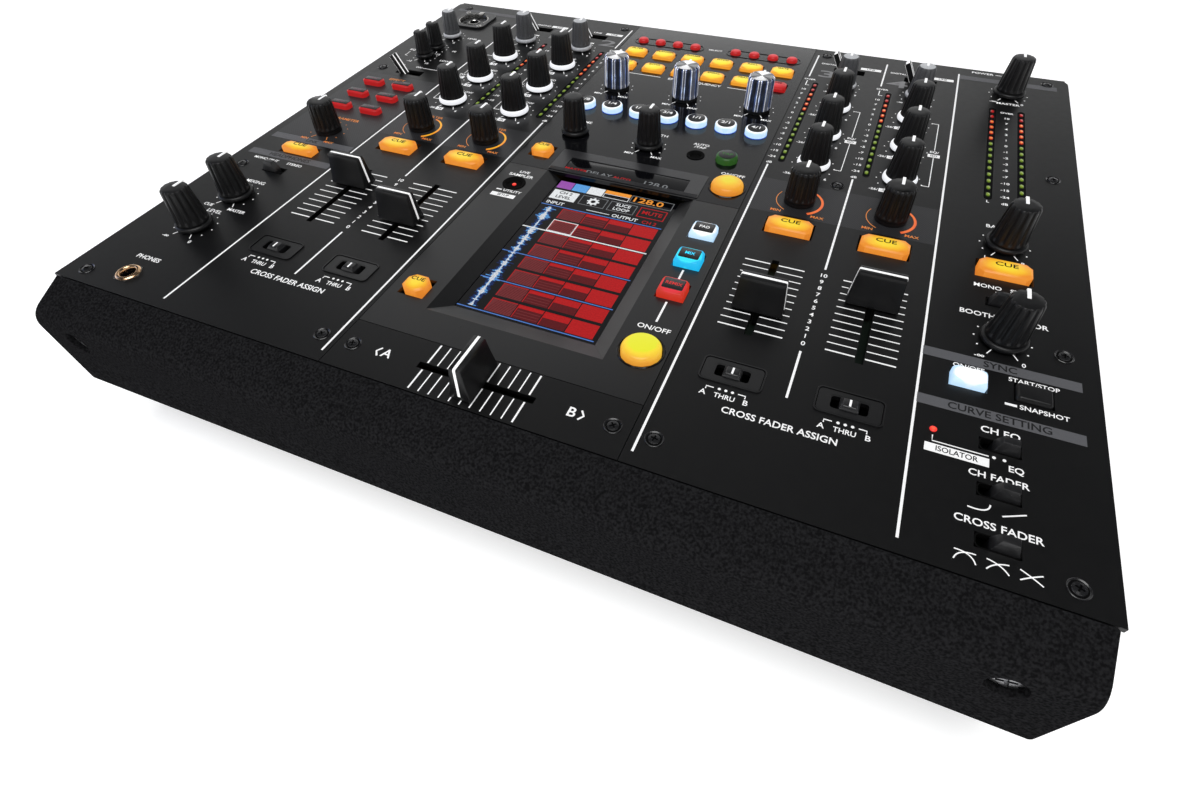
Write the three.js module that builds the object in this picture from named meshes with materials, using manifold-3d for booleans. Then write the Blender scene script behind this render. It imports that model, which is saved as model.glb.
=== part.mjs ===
// A four-channel DJ mixer with a touch screen, as an assembly of separate pieces.
// Millimetres, +Z up. The origin is the centre of the footprint on the surface that the feet stand on.
// Inside the mixer group, x runs to the right, y runs back from the front seam of the top
// panels, and z is 0 on the top face of the panels.
import * as THREE from "three";
import { mergeVertices } from "three/addons/utils/BufferGeometryUtils.js";
import Module from "manifold-3d";

const wasm = await Module();
wasm.setup();

// ---- Driving dimensions ----
const WIDTH = 430; // across the top panels
const PANEL_DEPTH = 361.5; // front seam to rear edge of the top panels
const PANEL_HEIGHT = 86.6; // top panels above the standing surface
const BUMPER_REACH = 20; // bumper face ahead of the front seam
const REAR_FACE = 377; // rear wall, measured from the front seam
const REAR_REACH = 389; // tips of the rear connectors, measured from the front seam
const FOOT_HEIGHT = 5;
const FOOT_RADIUS = 11;
const SHEET = 2; // sheet metal of the panels, tray and rear wall
const GAP = 0.3; // clearance between neighbouring pieces
const CORNER_RADIUS = 5; // rear corners of the top panels
const ROUND = 10; // sides of a small round hole or shaft
const CORNER_STEPS = 3; // fineness of a panel's rounded corner

// ---- Column and row positions ----
const CHANNEL_X = [-131, -88, 89.2, 132.2];
const STRIP_X = 181.8; // centre of the outer left and right strips
const SEAM_X = 63.5; // seams between the side panels and the centre panels
const TOUCH_PANEL_FRONT = 25.9;
const EFFECTS_PANEL_FRONT = 159.6;
const ROW = {
  lever: 333,
  trim: 310,
  high: 279.5,
  mid: 245.5,
  low: 211.8,
  effect: 176.5,
  cue: 152.4,
  faderTop: 123,
  faderBottom: 78.5,
  assign: 52.8,
};
const FADER_REST = [112.5, 93.4, 92.6, 112.1]; // how far up each channel fader stands
const CROSSFADER = { y: 13.1, halfTravel: 22.25 };

// ---- Moving parts ----
const SHAFT_RADIUS = 3;
const SHAFT_BOTTOM = -5.9;
const KNOB_CLEARANCE = 1; // underside of a knob above the panel
const LEVER = { pivotZ: -8, tilt: Math.PI / 6, length: 20.8, width: 4.6, thickness: 3 };
const FADER_CAP = { base: 0.95, height: 15.9, halfWidth: 10.5, topHalfWidth: 9.2, halfDepth: 4.8, topHalfDepth: 2.3 };
const FADER_SLOT = { length: 50.8, width: 3.1 };
const STEM = { halfWidth: 0.9, halfLength: 2, bottom: -7.7 };
const ASSIGN_SLOT = { length: 14.6, width: 7.2 };
const ASSIGN_SLIDER = { width: 5, depth: 6.2, top: 1.2, bottom: -9 };
const LEVER_SLOT = { length: 19, width: 6.6 };
const SWITCH_SLOT = { length: 13.4, width: 5.6 };

// ---- Recessed screen ----
const SCREEN = { halfWidth: 33.2, front: 51.1, depth: 3.7, thickness: 3 };
const SURROUND = { halfWidth: 40.6, front: 41.7 };

// ---- Inner board ----
const BOARD = { halfWidth: 206, front: 6, back: 350, top: -12.4, thickness: 1.6 };

// Knob families: radii of the foot flange and of the body, and the height above the panel.
const KNOB = {
  trim: { flange: 7.3, foot: 6.4, top: 5, height: 18 },
  tone: { flange: 8.5, foot: 7.4, top: 5.8, height: 20.8 },
  effect: { flange: 7.7, foot: 7.5, top: 6.8, height: 17.7 },
  micLevel: { flange: 6.5, foot: 5.7, top: 4.5, height: 17 },
  micTone: { flange: 6.2, foot: 5.2, top: 4.2, height: 16.5 },
  level: { flange: 8.8, foot: 7.9, top: 6.1, height: 21 },
  chrome: { flange: 8, foot: 7.8, top: 7.8, height: 19.4 },
  encoder: { flange: 7.9, foot: 6.9, top: 5.8, height: 20.6 },
};

// Every turning knob: name, family, x, y.
const knobList = [
  ["mic_level_knob", "micLevel", -185.4, 299.8],
  ["mic_high_knob", "micTone", -185.2, 278],
  ["mic_low_knob", "micTone", -185, 262.7],
  ["instant_effect_knob", "effect", -180.8, 154],
  ["phones_mixing_knob", "level", -181.6, 80.7],
  ["phones_level_knob", "level", -181.6, 52.4],
  ["master_level_knob", "level", STRIP_X, 331.5],
  ["balance_knob", "level", STRIP_X, 173],
  ["booth_level_knob", "level", STRIP_X, 108],
  ["frequency_knob_1", "chrome", -42.4, 263],
  ["frequency_knob_2", "chrome", 2.1, 263],
  ["frequency_knob_3", "chrome", 46.6, 263],
  ["beat_time_knob", "encoder", -43.2, 201.4],
  ["effect_depth_knob", "encoder", 1.3, 201.4],
];
CHANNEL_X.forEach((x, i) => {
  const channel = "channel_" + (i + 1);
  knobList.push([channel + "_trim_knob", "trim", x, ROW.trim]);
  knobList.push([channel + "_high_knob", "tone", x, ROW.high]);
  knobList.push([channel + "_mid_knob", "tone", x, ROW.mid]);
  knobList.push([channel + "_low_knob", "tone", x, ROW.low]);
  knobList.push([channel + "_effect_knob", "effect", x, ROW.effect]);
});

const leverList = CHANNEL_X.map((x, i) => ["channel_" + (i + 1) + "_input_lever", x, ROW.lever]);
leverList.push(["mic_lever", -181, 238]);

// Round sprung buttons: name, x, y.
const DOME = { radius: 8.2, flangeBottom: -4, top: 3.6, stemBottom: -9.2 };
const DOME_SIDES = 16;
const domeList = [
  ["effect_on_button", 52.8, 176.2],
  ["touch_on_button", 52.8, 51.7],
];

// Small slide switches that share the panels' slots: x, y.
const slideSwitches = [
  [-181, 107.8],
  [STRIP_X, 130.6],
  [STRIP_X, 52.8],
  [STRIP_X, 33.3],
  [STRIP_X, 13.8],
];

// ---- Key openings: x, y, width, depth, or x, y, radius ----
const keyWells = [];
for (const x of CHANNEL_X) keyWells.push([x, ROW.cue, 23, 12.6]);
keyWells.push([STRIP_X, 153, 23, 12.6]);
keyWells.push([-STRIP_X, 129.8, 23, 9.4]);
for (const y of [216, 199, 182]) {
  for (const x of [-193.4, -171.4]) keyWells.push([x, y, 15, 7.6]);
}
keyWells.push([170.6, 81.7, 13.2, 9.6]);
keyWells.push([192.6, 81.7, 13.2, 9.6]);
for (let i = 0; i < 6; i++) {
  for (const y of [295.6, 316.7]) keyWells.push([-49.75 + i * 19.9, y, 15, 11.4]);
}
for (let i = 0; i < 4; i++) {
  for (const side of [-1, 1]) keyWells.push([side * (14.1 + i * 12.6), 337, 3.9]);
}
for (let i = 0; i < 7; i++) keyWells.push([-51.3 + i * 17.4, 234.4, 6.6]);
keyWells.push([45.4, 201.8, 6.2]);
keyWells.push([28.5, 200.8, 4]);
keyWells.push([-51.8, 176.5, 12.8, 12.4]);
keyWells.push([-52, 52.6, 12.8, 12.4]);
keyWells.push([-51.3, 141.6, 5.2]);
for (const y of [135.1, 112.4, 90]) keyWells.push([52.9, y, 13, 12]);

// ---- Solids ----
function solid(geometry) {
  geometry.deleteAttribute("normal");
  geometry.deleteAttribute("uv");
  const merged = mergeVertices(geometry, 1e-4);
  return new wasm.Manifold(
    new wasm.Mesh({
      numProp: 3,
      vertProperties: new Float32Array(merged.attributes.position.array),
      triVerts: new Uint32Array(merged.index.array),
    }),
  );
}

function geometryOf(manifold) {
  const mesh = manifold.getMesh();
  const geometry = new THREE.BufferGeometry();
  geometry.setAttribute("position", new THREE.BufferAttribute(mesh.vertProperties, 3));
  geometry.setIndex(new THREE.BufferAttribute(mesh.triVerts, 1));
  const flat = geometry.toNonIndexed();
  flat.computeVertexNormals();
  return flat;
}

function block(x0, x1, y0, y1, z0, z1) {
  const geometry = new THREE.BoxGeometry(x1 - x0, y1 - y0, z1 - z0);
  return solid(geometry.translate((x0 + x1) / 2, (y0 + y1) / 2, (z0 + z1) / 2));
}

// A block centred on x, y whose top is narrower than its bottom.
function taperedBlock(bottomWidth, bottomDepth, topWidth, topDepth, z0, z1) {
  const geometry = new THREE.BoxGeometry(1, 1, 1);
  const p = geometry.attributes.position;
  for (let i = 0; i < p.count; i++) {
    const upper = p.getZ(i) > 0;
    const width = upper ? topWidth : bottomWidth;
    const depth = upper ? topDepth : bottomDepth;
    p.setXYZ(i, p.getX(i) * width, p.getY(i) * depth, upper ? z1 : z0);
  }
  return solid(geometry);
}

function uprightCylinder(x, y, radius, z0, z1, sides = ROUND) {
  const geometry = new THREE.CylinderGeometry(radius, radius, z1 - z0, sides);
  return solid(geometry.rotateX(Math.PI / 2).translate(x, y, (z0 + z1) / 2));
}

function rearwardCylinder(x, z, radius, y0, y1, sides = ROUND) {
  const geometry = new THREE.CylinderGeometry(radius, radius, y1 - y0, sides);
  return solid(geometry.translate(x, (y0 + y1) / 2, z));
}

// A side profile of [y, z] points, carried across from x0 to x1.
function sideProfile(points, x0, x1) {
  const shape = new THREE.Shape(points.map(([y, z]) => new THREE.Vector2(y, z)));
  const geometry = new THREE.ExtrudeGeometry(shape, { depth: x1 - x0, bevelEnabled: false });
  const axes = new THREE.Matrix4().makeBasis(
    new THREE.Vector3(0, 1, 0),
    new THREE.Vector3(0, 0, 1),
    new THREE.Vector3(1, 0, 0),
  );
  return solid(geometry.applyMatrix4(axes).translate(x0, 0, 0));
}

// ---- Flat panels with openings ----
function roundHole(x, y, radius, sides = ROUND) {
  return { x, y, cutter: uprightCylinder(x, y, radius, -SHEET - 1, 1, sides) };
}

function rectangularHole(x, y, width, depth) {
  const cutter = block(x - width / 2, x + width / 2, y - depth / 2, y + depth / 2, -SHEET - 1, 1);
  return { x, y, cutter };
}

// Every opening that any top panel needs. A panel takes the ones inside its own outline.
function allOpenings() {
  const holes = [];
  for (const [, , x, y] of knobList) holes.push(roundHole(x, y, SHAFT_RADIUS + 1));
  for (const [, x, y] of leverList) {
    holes.push(rectangularHole(x, y, LEVER_SLOT.length, LEVER_SLOT.width));
  }
  for (const x of CHANNEL_X) {
    const middle = (ROW.faderTop + ROW.faderBottom) / 2;
    holes.push(rectangularHole(x, middle, FADER_SLOT.width, FADER_SLOT.length));
    holes.push(rectangularHole(x, ROW.assign, ASSIGN_SLOT.length, ASSIGN_SLOT.width));
  }
  holes.push(rectangularHole(0, CROSSFADER.y, FADER_SLOT.length, FADER_SLOT.width));
  for (const [x, y] of slideSwitches) {
    holes.push(rectangularHole(x, y, SWITCH_SLOT.length, SWITCH_SLOT.width));
  }
  for (const [, x, y] of domeList) holes.push(roundHole(x, y, DOME.radius + 2 * GAP, DOME_SIDES));
  for (const [x, y, size, depth] of keyWells) {
    holes.push(depth ? rectangularHole(x, y, size, depth) : roundHole(x, y, size));
  }
  return holes;
}

const openings = allOpenings();

// A flat sheet with its upper face at z 0, cut by the openings that lie between its sides.
function topPanel(outline, x0, x1, y0, y1) {
  const sheet = { depth: SHEET, bevelEnabled: false, curveSegments: CORNER_STEPS };
  let panel = solid(new THREE.ExtrudeGeometry(outline, sheet).translate(0, 0, -SHEET));
  for (const { x, y, cutter } of openings) {
    if (x > x0 && x < x1 && y > y0 && y < y1) panel = panel.subtract(cutter);
  }
  return panel;
}

function rectangle(x0, x1, y0, y1) {
  return new THREE.Shape([
    new THREE.Vector2(x0, y0),
    new THREE.Vector2(x1, y0),
    new THREE.Vector2(x1, y1),
    new THREE.Vector2(x0, y1),
  ]);
}

// A side panel runs the full depth and has its outer rear corner rounded.
function sidePanel(side) {
  const inner = side * (SEAM_X + GAP / 2);
  const outer = (side * WIDTH) / 2;
  const centre = outer - side * CORNER_RADIUS;
  const outline = new THREE.Shape();
  outline.moveTo(inner, 0);
  outline.lineTo(outer, 0);
  const start = side > 0 ? 0 : Math.PI;
  outline.absarc(centre, PANEL_DEPTH - CORNER_RADIUS, CORNER_RADIUS, start, Math.PI / 2, side < 0);
  outline.lineTo(inner, PANEL_DEPTH);
  return topPanel(outline, Math.min(inner, outer), Math.max(inner, outer), 0, PANEL_DEPTH);
}

function centrePanel(y0, y1) {
  const half = SEAM_X - GAP / 2;
  return topPanel(rectangle(-half, half, y0, y1), -half, half, y0, y1);
}

// A blind socket is a closed cup standing down from the panel or in from the rear wall.
const PHONES_JACK = { x: -182.2, y: 12.7, bore: 3.4, shell: 5.6, depth: 26 };
const MIC_JACK = { x: -186, y: 331, bore: 11.3, shell: 13.4, depth: 24 };

function downwardSocket(panel, jack, sides) {
  const shell = uprightCylinder(jack.x, jack.y, jack.shell, -jack.depth, -SHEET / 2, sides);
  const bore = uprightCylinder(jack.x, jack.y, jack.bore, SHEET - jack.depth, 1, sides);
  return panel.add(shell).subtract(bore);
}

function leftPanel() {
  const withPhones = downwardSocket(sidePanel(-1), PHONES_JACK, ROUND);
  return downwardSocket(withPhones, MIC_JACK, 16);
}

// The touch panel holds a bevelled recess that is open towards the effects panel.
function touchPanel() {
  const back = EFFECTS_PANEL_FRONT - GAP / 2;
  const front = TOUCH_PANEL_FRONT + GAP / 2;
  const margin = 2.4;
  const floor = -SCREEN.depth;
  const pan = block(
    -SURROUND.halfWidth - margin,
    SURROUND.halfWidth + margin,
    SURROUND.front - margin,
    back,
    floor,
    -SHEET / 2,
  );
  const bevel = new THREE.BoxGeometry(1, 1, 1);
  const p = bevel.attributes.position;
  for (let i = 0; i < p.count; i++) {
    const upper = p.getZ(i) > 0;
    const half = upper ? SURROUND.halfWidth : SCREEN.halfWidth;
    const near = upper ? SURROUND.front : SCREEN.front;
    p.setXYZ(i, Math.sign(p.getX(i)) * half, p.getY(i) > 0 ? back + 1 : near, upper ? 0.001 : floor - 0.001);
  }
  return centrePanel(front, back).add(pan).subtract(solid(bevel));
}

function touchScreen() {
  const top = -SCREEN.depth - GAP;
  const back = EFFECTS_PANEL_FRONT - 1;
  const rim = 2;
  const half = SCREEN.halfWidth + rim;
  return block(-half, half, SCREEN.front - rim, back, top - SCREEN.thickness, top);
}

// ---- Case ----
const FLOOR = FOOT_HEIGHT - PANEL_HEIGHT; // underside of the tray
const BUMPER_BOTTOM = -52.2;
const BEVEL_DROP = REAR_FACE - PANEL_DEPTH - GAP; // the 45 degree fall behind the panels
const CASE_HALF = WIDTH / 2 - 1.5;
const FOOT_PLACES = [
  [-180, 28],
  [180, 28],
  [-180, 342],
  [180, 342],
];

function bottomTray() {
  const lipTop = -SHEET - GAP;
  const ledge = BUMPER_BOTTOM - 0.4;
  const back = REAR_FACE - SHEET - 0.4;
  const chin = -11.4;
  const toe = -3.5;
  const bevelFoot = lipTop - BEVEL_DROP + 1.4;
  const outer = [
    [GAP, lipTop],
    [GAP, ledge],
    [chin, ledge],
    [toe, FLOOR],
    [back, FLOOR],
    [back, bevelFoot],
    [PANEL_DEPTH - 0.6, lipTop],
  ];
  const inner = [
    [GAP + SHEET, 1],
    [GAP + SHEET, ledge - SHEET],
    [chin + SHEET + 1, ledge - SHEET],
    [toe + SHEET, FLOOR + SHEET],
    [back + 1, FLOOR + SHEET],
    [back + 1, 1],
  ];
  const shell = sideProfile(outer, -CASE_HALF, CASE_HALF);
  const hollow = sideProfile(inner, SHEET - CASE_HALF, CASE_HALF - SHEET);
  let tray = shell.subtract(hollow);
  for (const [x, y] of FOOT_PLACES) {
    tray = tray.add(uprightCylinder(x, y, FOOT_RADIUS, FLOOR - FOOT_HEIGHT, FLOOR + 1, 16));
  }
  return tray;
}

const BUMPER_SCREW = { x: 192.7, z: -19, radius: 6 };

function frontBumper() {
  const wall = 2.5;
  const outer = [
    [-GAP, -0.1],
    [-15.5, -6.4],
    [-18.8, -8.8],
    [-BUMPER_REACH, -12.4],
    [-19, -51],
    [-17.6, BUMPER_BOTTOM],
    [-GAP, BUMPER_BOTTOM],
  ];
  const inner = [
    [1, -2.2],
    [-14.6, -9],
    [-16.7, -10.5],
    [wall - BUMPER_REACH, -13],
    [-16.6, BUMPER_BOTTOM + wall],
    [1, BUMPER_BOTTOM + wall],
  ];
  const shell = sideProfile(outer, -CASE_HALF, CASE_HALF);
  const hollow = sideProfile(inner, wall - CASE_HALF, CASE_HALF - wall);
  let bumper = shell.subtract(hollow);
  for (const side of [-1, 1]) {
    const { x, z, radius } = BUMPER_SCREW;
    bumper = bumper.subtract(rearwardCylinder(side * x, z, radius, -BUMPER_REACH - 1, -14, 16));
  }
  return bumper;
}

// Rear connectors. Round ones: x, z, bore radius, shell radius, depth of the bore.
const rearSockets = [
  [122, -50, 9.5, 11.5, 14],
  [92, -50, 9.5, 11.5, 14],
  [66, -38, 3.4, 5.5, 26],
  [66, -62, 3.4, 5.5, 26],
  [-196, -38, 3.4, 5.5, 26],
  [-196, -62, 3.4, 5.5, 26],
];
// Box-shaped ones: x, z, width, height, depth.
const rearBoxes = [
  [188, -52, 27, 20, 16],
  [-166, -38, 12.4, 9.4, 14],
  [-166, -62, 12.4, 9.4, 14],
];
const PHONO = { radius: 4.2, columns: [-136, -116, -84, -64, -32, -12, 20, 40], rows: [-38, -62] };

function rearPanel() {
  const start = PANEL_DEPTH + GAP;
  const inset = SHEET * (Math.SQRT2 - 1);
  const profile = [
    [start, 0],
    [REAR_FACE, -BEVEL_DROP],
    [REAR_FACE, FLOOR],
    [REAR_FACE - SHEET, FLOOR],
    [REAR_FACE - SHEET, -BEVEL_DROP - inset],
    [start, -SHEET * Math.SQRT2],
  ];
  let panel = sideProfile(profile, -CASE_HALF, CASE_HALF);
  for (const [x, z, bore, shell, depth] of rearSockets) {
    const floor = REAR_FACE - depth;
    panel = panel.add(rearwardCylinder(x, z, shell, floor - SHEET, REAR_FACE + 1));
    panel = panel.subtract(rearwardCylinder(x, z, bore, floor, REAR_FACE + 2));
  }
  for (const [x, z, width, height, depth] of rearBoxes) {
    const [w, h] = [width / 2, height / 2];
    const floor = REAR_FACE - depth;
    panel = panel.add(
      block(x - w - SHEET, x + w + SHEET, floor - SHEET, REAR_FACE + 1, z - h - SHEET, z + h + SHEET),
    );
    panel = panel.subtract(block(x - w, x + w, floor, REAR_FACE + 2, z - h, z + h));
  }
  for (const x of PHONO.columns) {
    for (const z of PHONO.rows) {
      panel = panel.add(rearwardCylinder(x, z, PHONO.radius, REAR_FACE - 1, REAR_REACH, 8));
    }
  }
  return panel;
}

// The board under the panels carries a potentiometer, switch or fader body below each control.
function controlBoard() {
  const { halfWidth, front, back, top, thickness } = BOARD;
  let board = block(-halfWidth, halfWidth, front, back, top - thickness, top);
  const mount = (x, y, width, depth, z) => {
    board = board.add(block(x - width / 2, x + width / 2, y - depth / 2, y + depth / 2, top - 0.5, z));
  };
  for (const [, , x, y] of knobList) mount(x, y, 9, 9, SHAFT_BOTTOM - GAP);
  for (const x of CHANNEL_X) {
    mount(x, (ROW.faderTop + ROW.faderBottom) / 2, 8, 60, STEM.bottom - GAP);
    mount(x, ROW.assign, 16, 7, ASSIGN_SLIDER.bottom - GAP);
  }
  mount(0, CROSSFADER.y, 60, 8, STEM.bottom - GAP);
  for (const [, x, y] of domeList) mount(x, y, 6, 6, DOME.stemBottom - 1.3);
  for (const jack of [PHONES_JACK, MIC_JACK]) {
    board = board.subtract(uprightCylinder(jack.x, jack.y, jack.shell + 1, top - 4, 0, 16));
  }
  return board;
}

// ---- Pieces that the hands move ----
function lathe(points, sides) {
  const profile = points.map(([radius, z]) => new THREE.Vector2(radius, z));
  return new THREE.LatheGeometry(profile, sides).rotateX(Math.PI / 2);
}

function knobGeometry({ flange, foot, top, height }) {
  const flangeTop = 2.6;
  const points = [
    [0, SHAFT_BOTTOM],
    [SHAFT_RADIUS, SHAFT_BOTTOM],
    [SHAFT_RADIUS, KNOB_CLEARANCE],
    [flange, KNOB_CLEARANCE],
    [flange, flangeTop],
    [foot, flangeTop],
    [top, height],
    [0, height],
  ];
  return lathe(points, ROUND);
}

function domeGeometry() {
  const { radius, flangeBottom, top, stemBottom } = DOME;
  const points = [
    [0, stemBottom],
    [SHAFT_RADIUS, stemBottom],
    [SHAFT_RADIUS, flangeBottom],
    [radius, flangeBottom],
    [radius, top - 2.2],
    [radius - 2, top - 0.5],
    [0, top],
  ];
  return lathe(points, DOME_SIDES);
}

function faderGeometry() {
  const { base, height, halfWidth, topHalfWidth, halfDepth, topHalfDepth } = FADER_CAP;
  const cap = taperedBlock(
    2 * halfWidth,
    2 * halfDepth,
    2 * topHalfWidth,
    2 * topHalfDepth,
    base,
    height,
  );
  const { halfWidth: w, halfLength: l, bottom } = STEM;
  return geometryOf(cap.add(block(-w, w, -l, l, bottom, base + 1)));
}

function leverGeometry() {
  const { length, width, thickness } = LEVER;
  const paddle = block(-thickness / 2, thickness / 2, -width / 2, width / 2, 0, length);
  const hub = rearwardCylinder(0, 0, 2.6, -width / 2, width / 2);
  return geometryOf(paddle.add(hub));
}

function sliderGeometry() {
  const { width, depth, top, bottom } = ASSIGN_SLIDER;
  return new THREE.BoxGeometry(width, depth, top - bottom).translate(0, 0, (top + bottom) / 2);
}

// ---- Materials ----
function finish(color, roughness, metalness = 0) {
  return new THREE.MeshStandardMaterial({ color, roughness, metalness });
}
const blackPaint = finish(0x161617, 0.5, 0.3);
const glossBlack = finish(0x0c0c0d, 0.25);
const texturedPaint = finish(0x121213, 0.65, 0.3);
const blackPlastic = finish(0x0a0a0b, 0.55);
const greyPlastic = finish(0x5c5e61, 0.5);
const chromePlate = finish(0xc4c9d2, 0.15, 1);
const circuitGreen = finish(0x12331f, 0.5);
const amberPlastic = finish(0xf2a31b, 0.4);
const yellowPlastic = finish(0xe9e22c, 0.4);

const knobFinish = {
  trim: greyPlastic,
  tone: blackPlastic,
  effect: blackPlastic,
  micLevel: greyPlastic,
  micTone: blackPlastic,
  level: blackPlastic,
  chrome: chromePlate,
  encoder: blackPlastic,
};

// ---- Assembly ----
const group = new THREE.Group();
const mixer = new THREE.Group();
mixer.position.set(0, (BUMPER_REACH - REAR_REACH) / 2, PANEL_HEIGHT);
group.add(mixer);

function place(name, geometry, material, x = 0, y = 0, z = 0) {
  const mesh = new THREE.Mesh(geometry, material);
  mesh.name = name;
  mesh.position.set(x, y, z);
  mixer.add(mesh);
  return mesh;
}

place("bottom_tray", geometryOf(bottomTray()), texturedPaint);
place("rear_panel", geometryOf(rearPanel()), blackPaint);
place("front_bumper", geometryOf(frontBumper()), texturedPaint);
place("left_panel", geometryOf(leftPanel()), blackPaint);
place("right_panel", geometryOf(sidePanel(1)), blackPaint);
place("effects_panel", geometryOf(centrePanel(EFFECTS_PANEL_FRONT + GAP / 2, PANEL_DEPTH)), glossBlack);
place("touch_panel", geometryOf(touchPanel()), glossBlack);
place("crossfader_panel", geometryOf(centrePanel(0, TOUCH_PANEL_FRONT - GAP / 2)), blackPaint);
place("touch_screen", geometryOf(touchScreen()), glossBlack);
place("control_board", geometryOf(controlBoard()), circuitGreen);

for (const [name, family, x, y] of knobList) {
  place(name, knobGeometry(KNOB[family]), knobFinish[family], x, y);
}

const faderCap = faderGeometry();
CHANNEL_X.forEach((x, i) => {
  place("channel_" + (i + 1) + "_fader", faderCap, blackPlastic, x, FADER_REST[i]);
  place("channel_" + (i + 1) + "_assign_switch", sliderGeometry(), blackPlastic, x, ROW.assign);
});
place("crossfader", faderCap, blackPlastic, 0, CROSSFADER.y).rotation.z = Math.PI / 2;

for (const [name, x, y] of leverList) {
  place(name, leverGeometry(), blackPlastic, x, y, LEVER.pivotZ).rotation.y = -LEVER.tilt;
}

domeList.forEach(([name, x, y], i) => {
  place(name, domeGeometry(), i ? yellowPlastic : amberPlastic, x, y);
});

export default group;
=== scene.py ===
"""Looks of a four-channel DJ mixer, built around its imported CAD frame."""

import math
import random

import bmesh
import bpy
from mathutils import Matrix, Vector


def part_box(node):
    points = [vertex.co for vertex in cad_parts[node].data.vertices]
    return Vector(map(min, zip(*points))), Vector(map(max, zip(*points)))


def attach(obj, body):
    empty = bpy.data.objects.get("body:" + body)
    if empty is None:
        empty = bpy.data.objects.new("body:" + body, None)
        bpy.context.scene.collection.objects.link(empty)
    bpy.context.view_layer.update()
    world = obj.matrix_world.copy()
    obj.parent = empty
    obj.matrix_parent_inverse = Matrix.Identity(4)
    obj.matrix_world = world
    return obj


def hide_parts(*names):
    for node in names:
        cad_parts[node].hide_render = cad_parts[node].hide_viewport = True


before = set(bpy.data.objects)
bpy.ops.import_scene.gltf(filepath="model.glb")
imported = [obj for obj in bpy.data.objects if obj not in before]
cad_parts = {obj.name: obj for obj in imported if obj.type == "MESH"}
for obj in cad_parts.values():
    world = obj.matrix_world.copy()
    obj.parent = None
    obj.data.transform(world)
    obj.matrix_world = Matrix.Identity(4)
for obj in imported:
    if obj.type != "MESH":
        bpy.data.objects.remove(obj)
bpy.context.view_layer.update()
random.seed(7)

# ---- The panel frame: millimetres, x right, y back from the front seam, z up from the panels' top face ----
MM = 0.001
ROOT = "chassis"
left_low, left_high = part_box("left_panel")
PANEL = Matrix.Translation((0, left_low.y, left_high.z)) @ Matrix.Scale(MM, 4)
TO_PANEL = PANEL.inverted()


def centre_of(node):
    """Centre of a CAD node in the panel frame."""
    low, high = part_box(node)
    return TO_PANEL @ ((low + high) / 2)


def span_of(node):
    """Lowest and highest corners of a CAD node in the panel frame."""
    low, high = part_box(node)
    return TO_PANEL @ low, TO_PANEL @ high


CHANNELS = [centre_of("channel_%d_fader" % n).x for n in (1, 2, 3, 4)]
STRIP = centre_of("master_level_knob").x

TRAY_LOW, TRAY_HIGH = span_of("bottom_tray")
TRAY_HALF = TRAY_HIGH.x
FOOT_HEIGHT = 5.0
TRAY_BOTTOM = TRAY_LOW.z + FOOT_HEIGHT

# ---- Camera ----
camera_data = bpy.data.cameras.new("camera")
camera_data.lens = 18.814
camera_data.sensor_width = 36
camera_data.clip_start = 0.01
camera = bpy.data.objects.new("camera", camera_data)
camera.location = PANEL @ Vector((109.6, -112.1, 176.6))
camera.rotation_euler = [math.radians(a) for a in (39.96, 1.52, 22.91)]
bpy.context.scene.collection.objects.link(camera)
bpy.context.scene.camera = camera
bpy.context.scene.view_settings.view_transform = "Standard"


# ---- Materials ----
def material(name, color, roughness=0.5, metallic=0.0, specular=0.5):
    made = bpy.data.materials.new(name)
    made.use_nodes = True
    shader = made.node_tree.nodes["Principled BSDF"]
    shader.inputs["Base Color"].default_value = (*color, 1)
    shader.inputs["Roughness"].default_value = roughness
    shader.inputs["Metallic"].default_value = metallic
    shader.inputs["Specular IOR Level"].default_value = specular
    return made


def noise(made, scale, detail=3.0):
    """A noise texture in object space. Object space is metres, so scale is features a metre."""
    nodes, links = made.node_tree.nodes, made.node_tree.links
    texture = nodes.new("ShaderNodeTexNoise")
    texture.inputs["Scale"].default_value = scale
    texture.inputs["Detail"].default_value = detail
    place = nodes.new("ShaderNodeTexCoord")
    links.new(place.outputs["Object"], texture.inputs["Vector"])
    return texture


def grain(made, scale, strength, distance=0.0001):
    """Raised grain over the whole surface."""
    nodes, links = made.node_tree.nodes, made.node_tree.links
    bump = nodes.new("ShaderNodeBump")
    bump.inputs["Strength"].default_value = strength
    bump.inputs["Distance"].default_value = distance
    links.new(noise(made, scale).outputs["Fac"], bump.inputs["Height"])
    links.new(bump.outputs["Normal"], nodes["Principled BSDF"].inputs["Normal"])
    return made


def vary(made, socket, low, high, scale, detail=3.0, spread=0.15):
    """Lets noise move a shader input between two values, or two colours."""
    nodes, links = made.node_tree.nodes, made.node_tree.links
    ramp = nodes.new("ShaderNodeValToRGB")
    ramp.color_ramp.elements[0].position = 0.5 - spread
    ramp.color_ramp.elements[1].position = 0.5 + spread
    pair = [(v, v, v, 1) if isinstance(v, float) else (*v, 1) for v in (low, high)]
    ramp.color_ramp.elements[0].color, ramp.color_ramp.elements[1].color = pair
    links.new(noise(made, scale, detail).outputs["Fac"], ramp.inputs["Fac"])
    links.new(ramp.outputs["Color"], nodes["Principled BSDF"].inputs[socket])
    return made


def painted(name, color, roughness, grain_scale, grain_strength, speck=1.3, specular=0.5, change=0.03):
    """Paint with a fine grain, tiny lighter specks and a slight unevenness of gloss."""
    made = material(name, color, roughness, specular=specular)
    grain(made, grain_scale, grain_strength)
    vary(made, "Roughness", roughness - change, roughness + change, 350, 6.0, 0.3)
    brighter = tuple(c * speck for c in color)
    vary(made, "Base Color", color, brighter, grain_scale * 0.8, 1.0)
    return made


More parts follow.
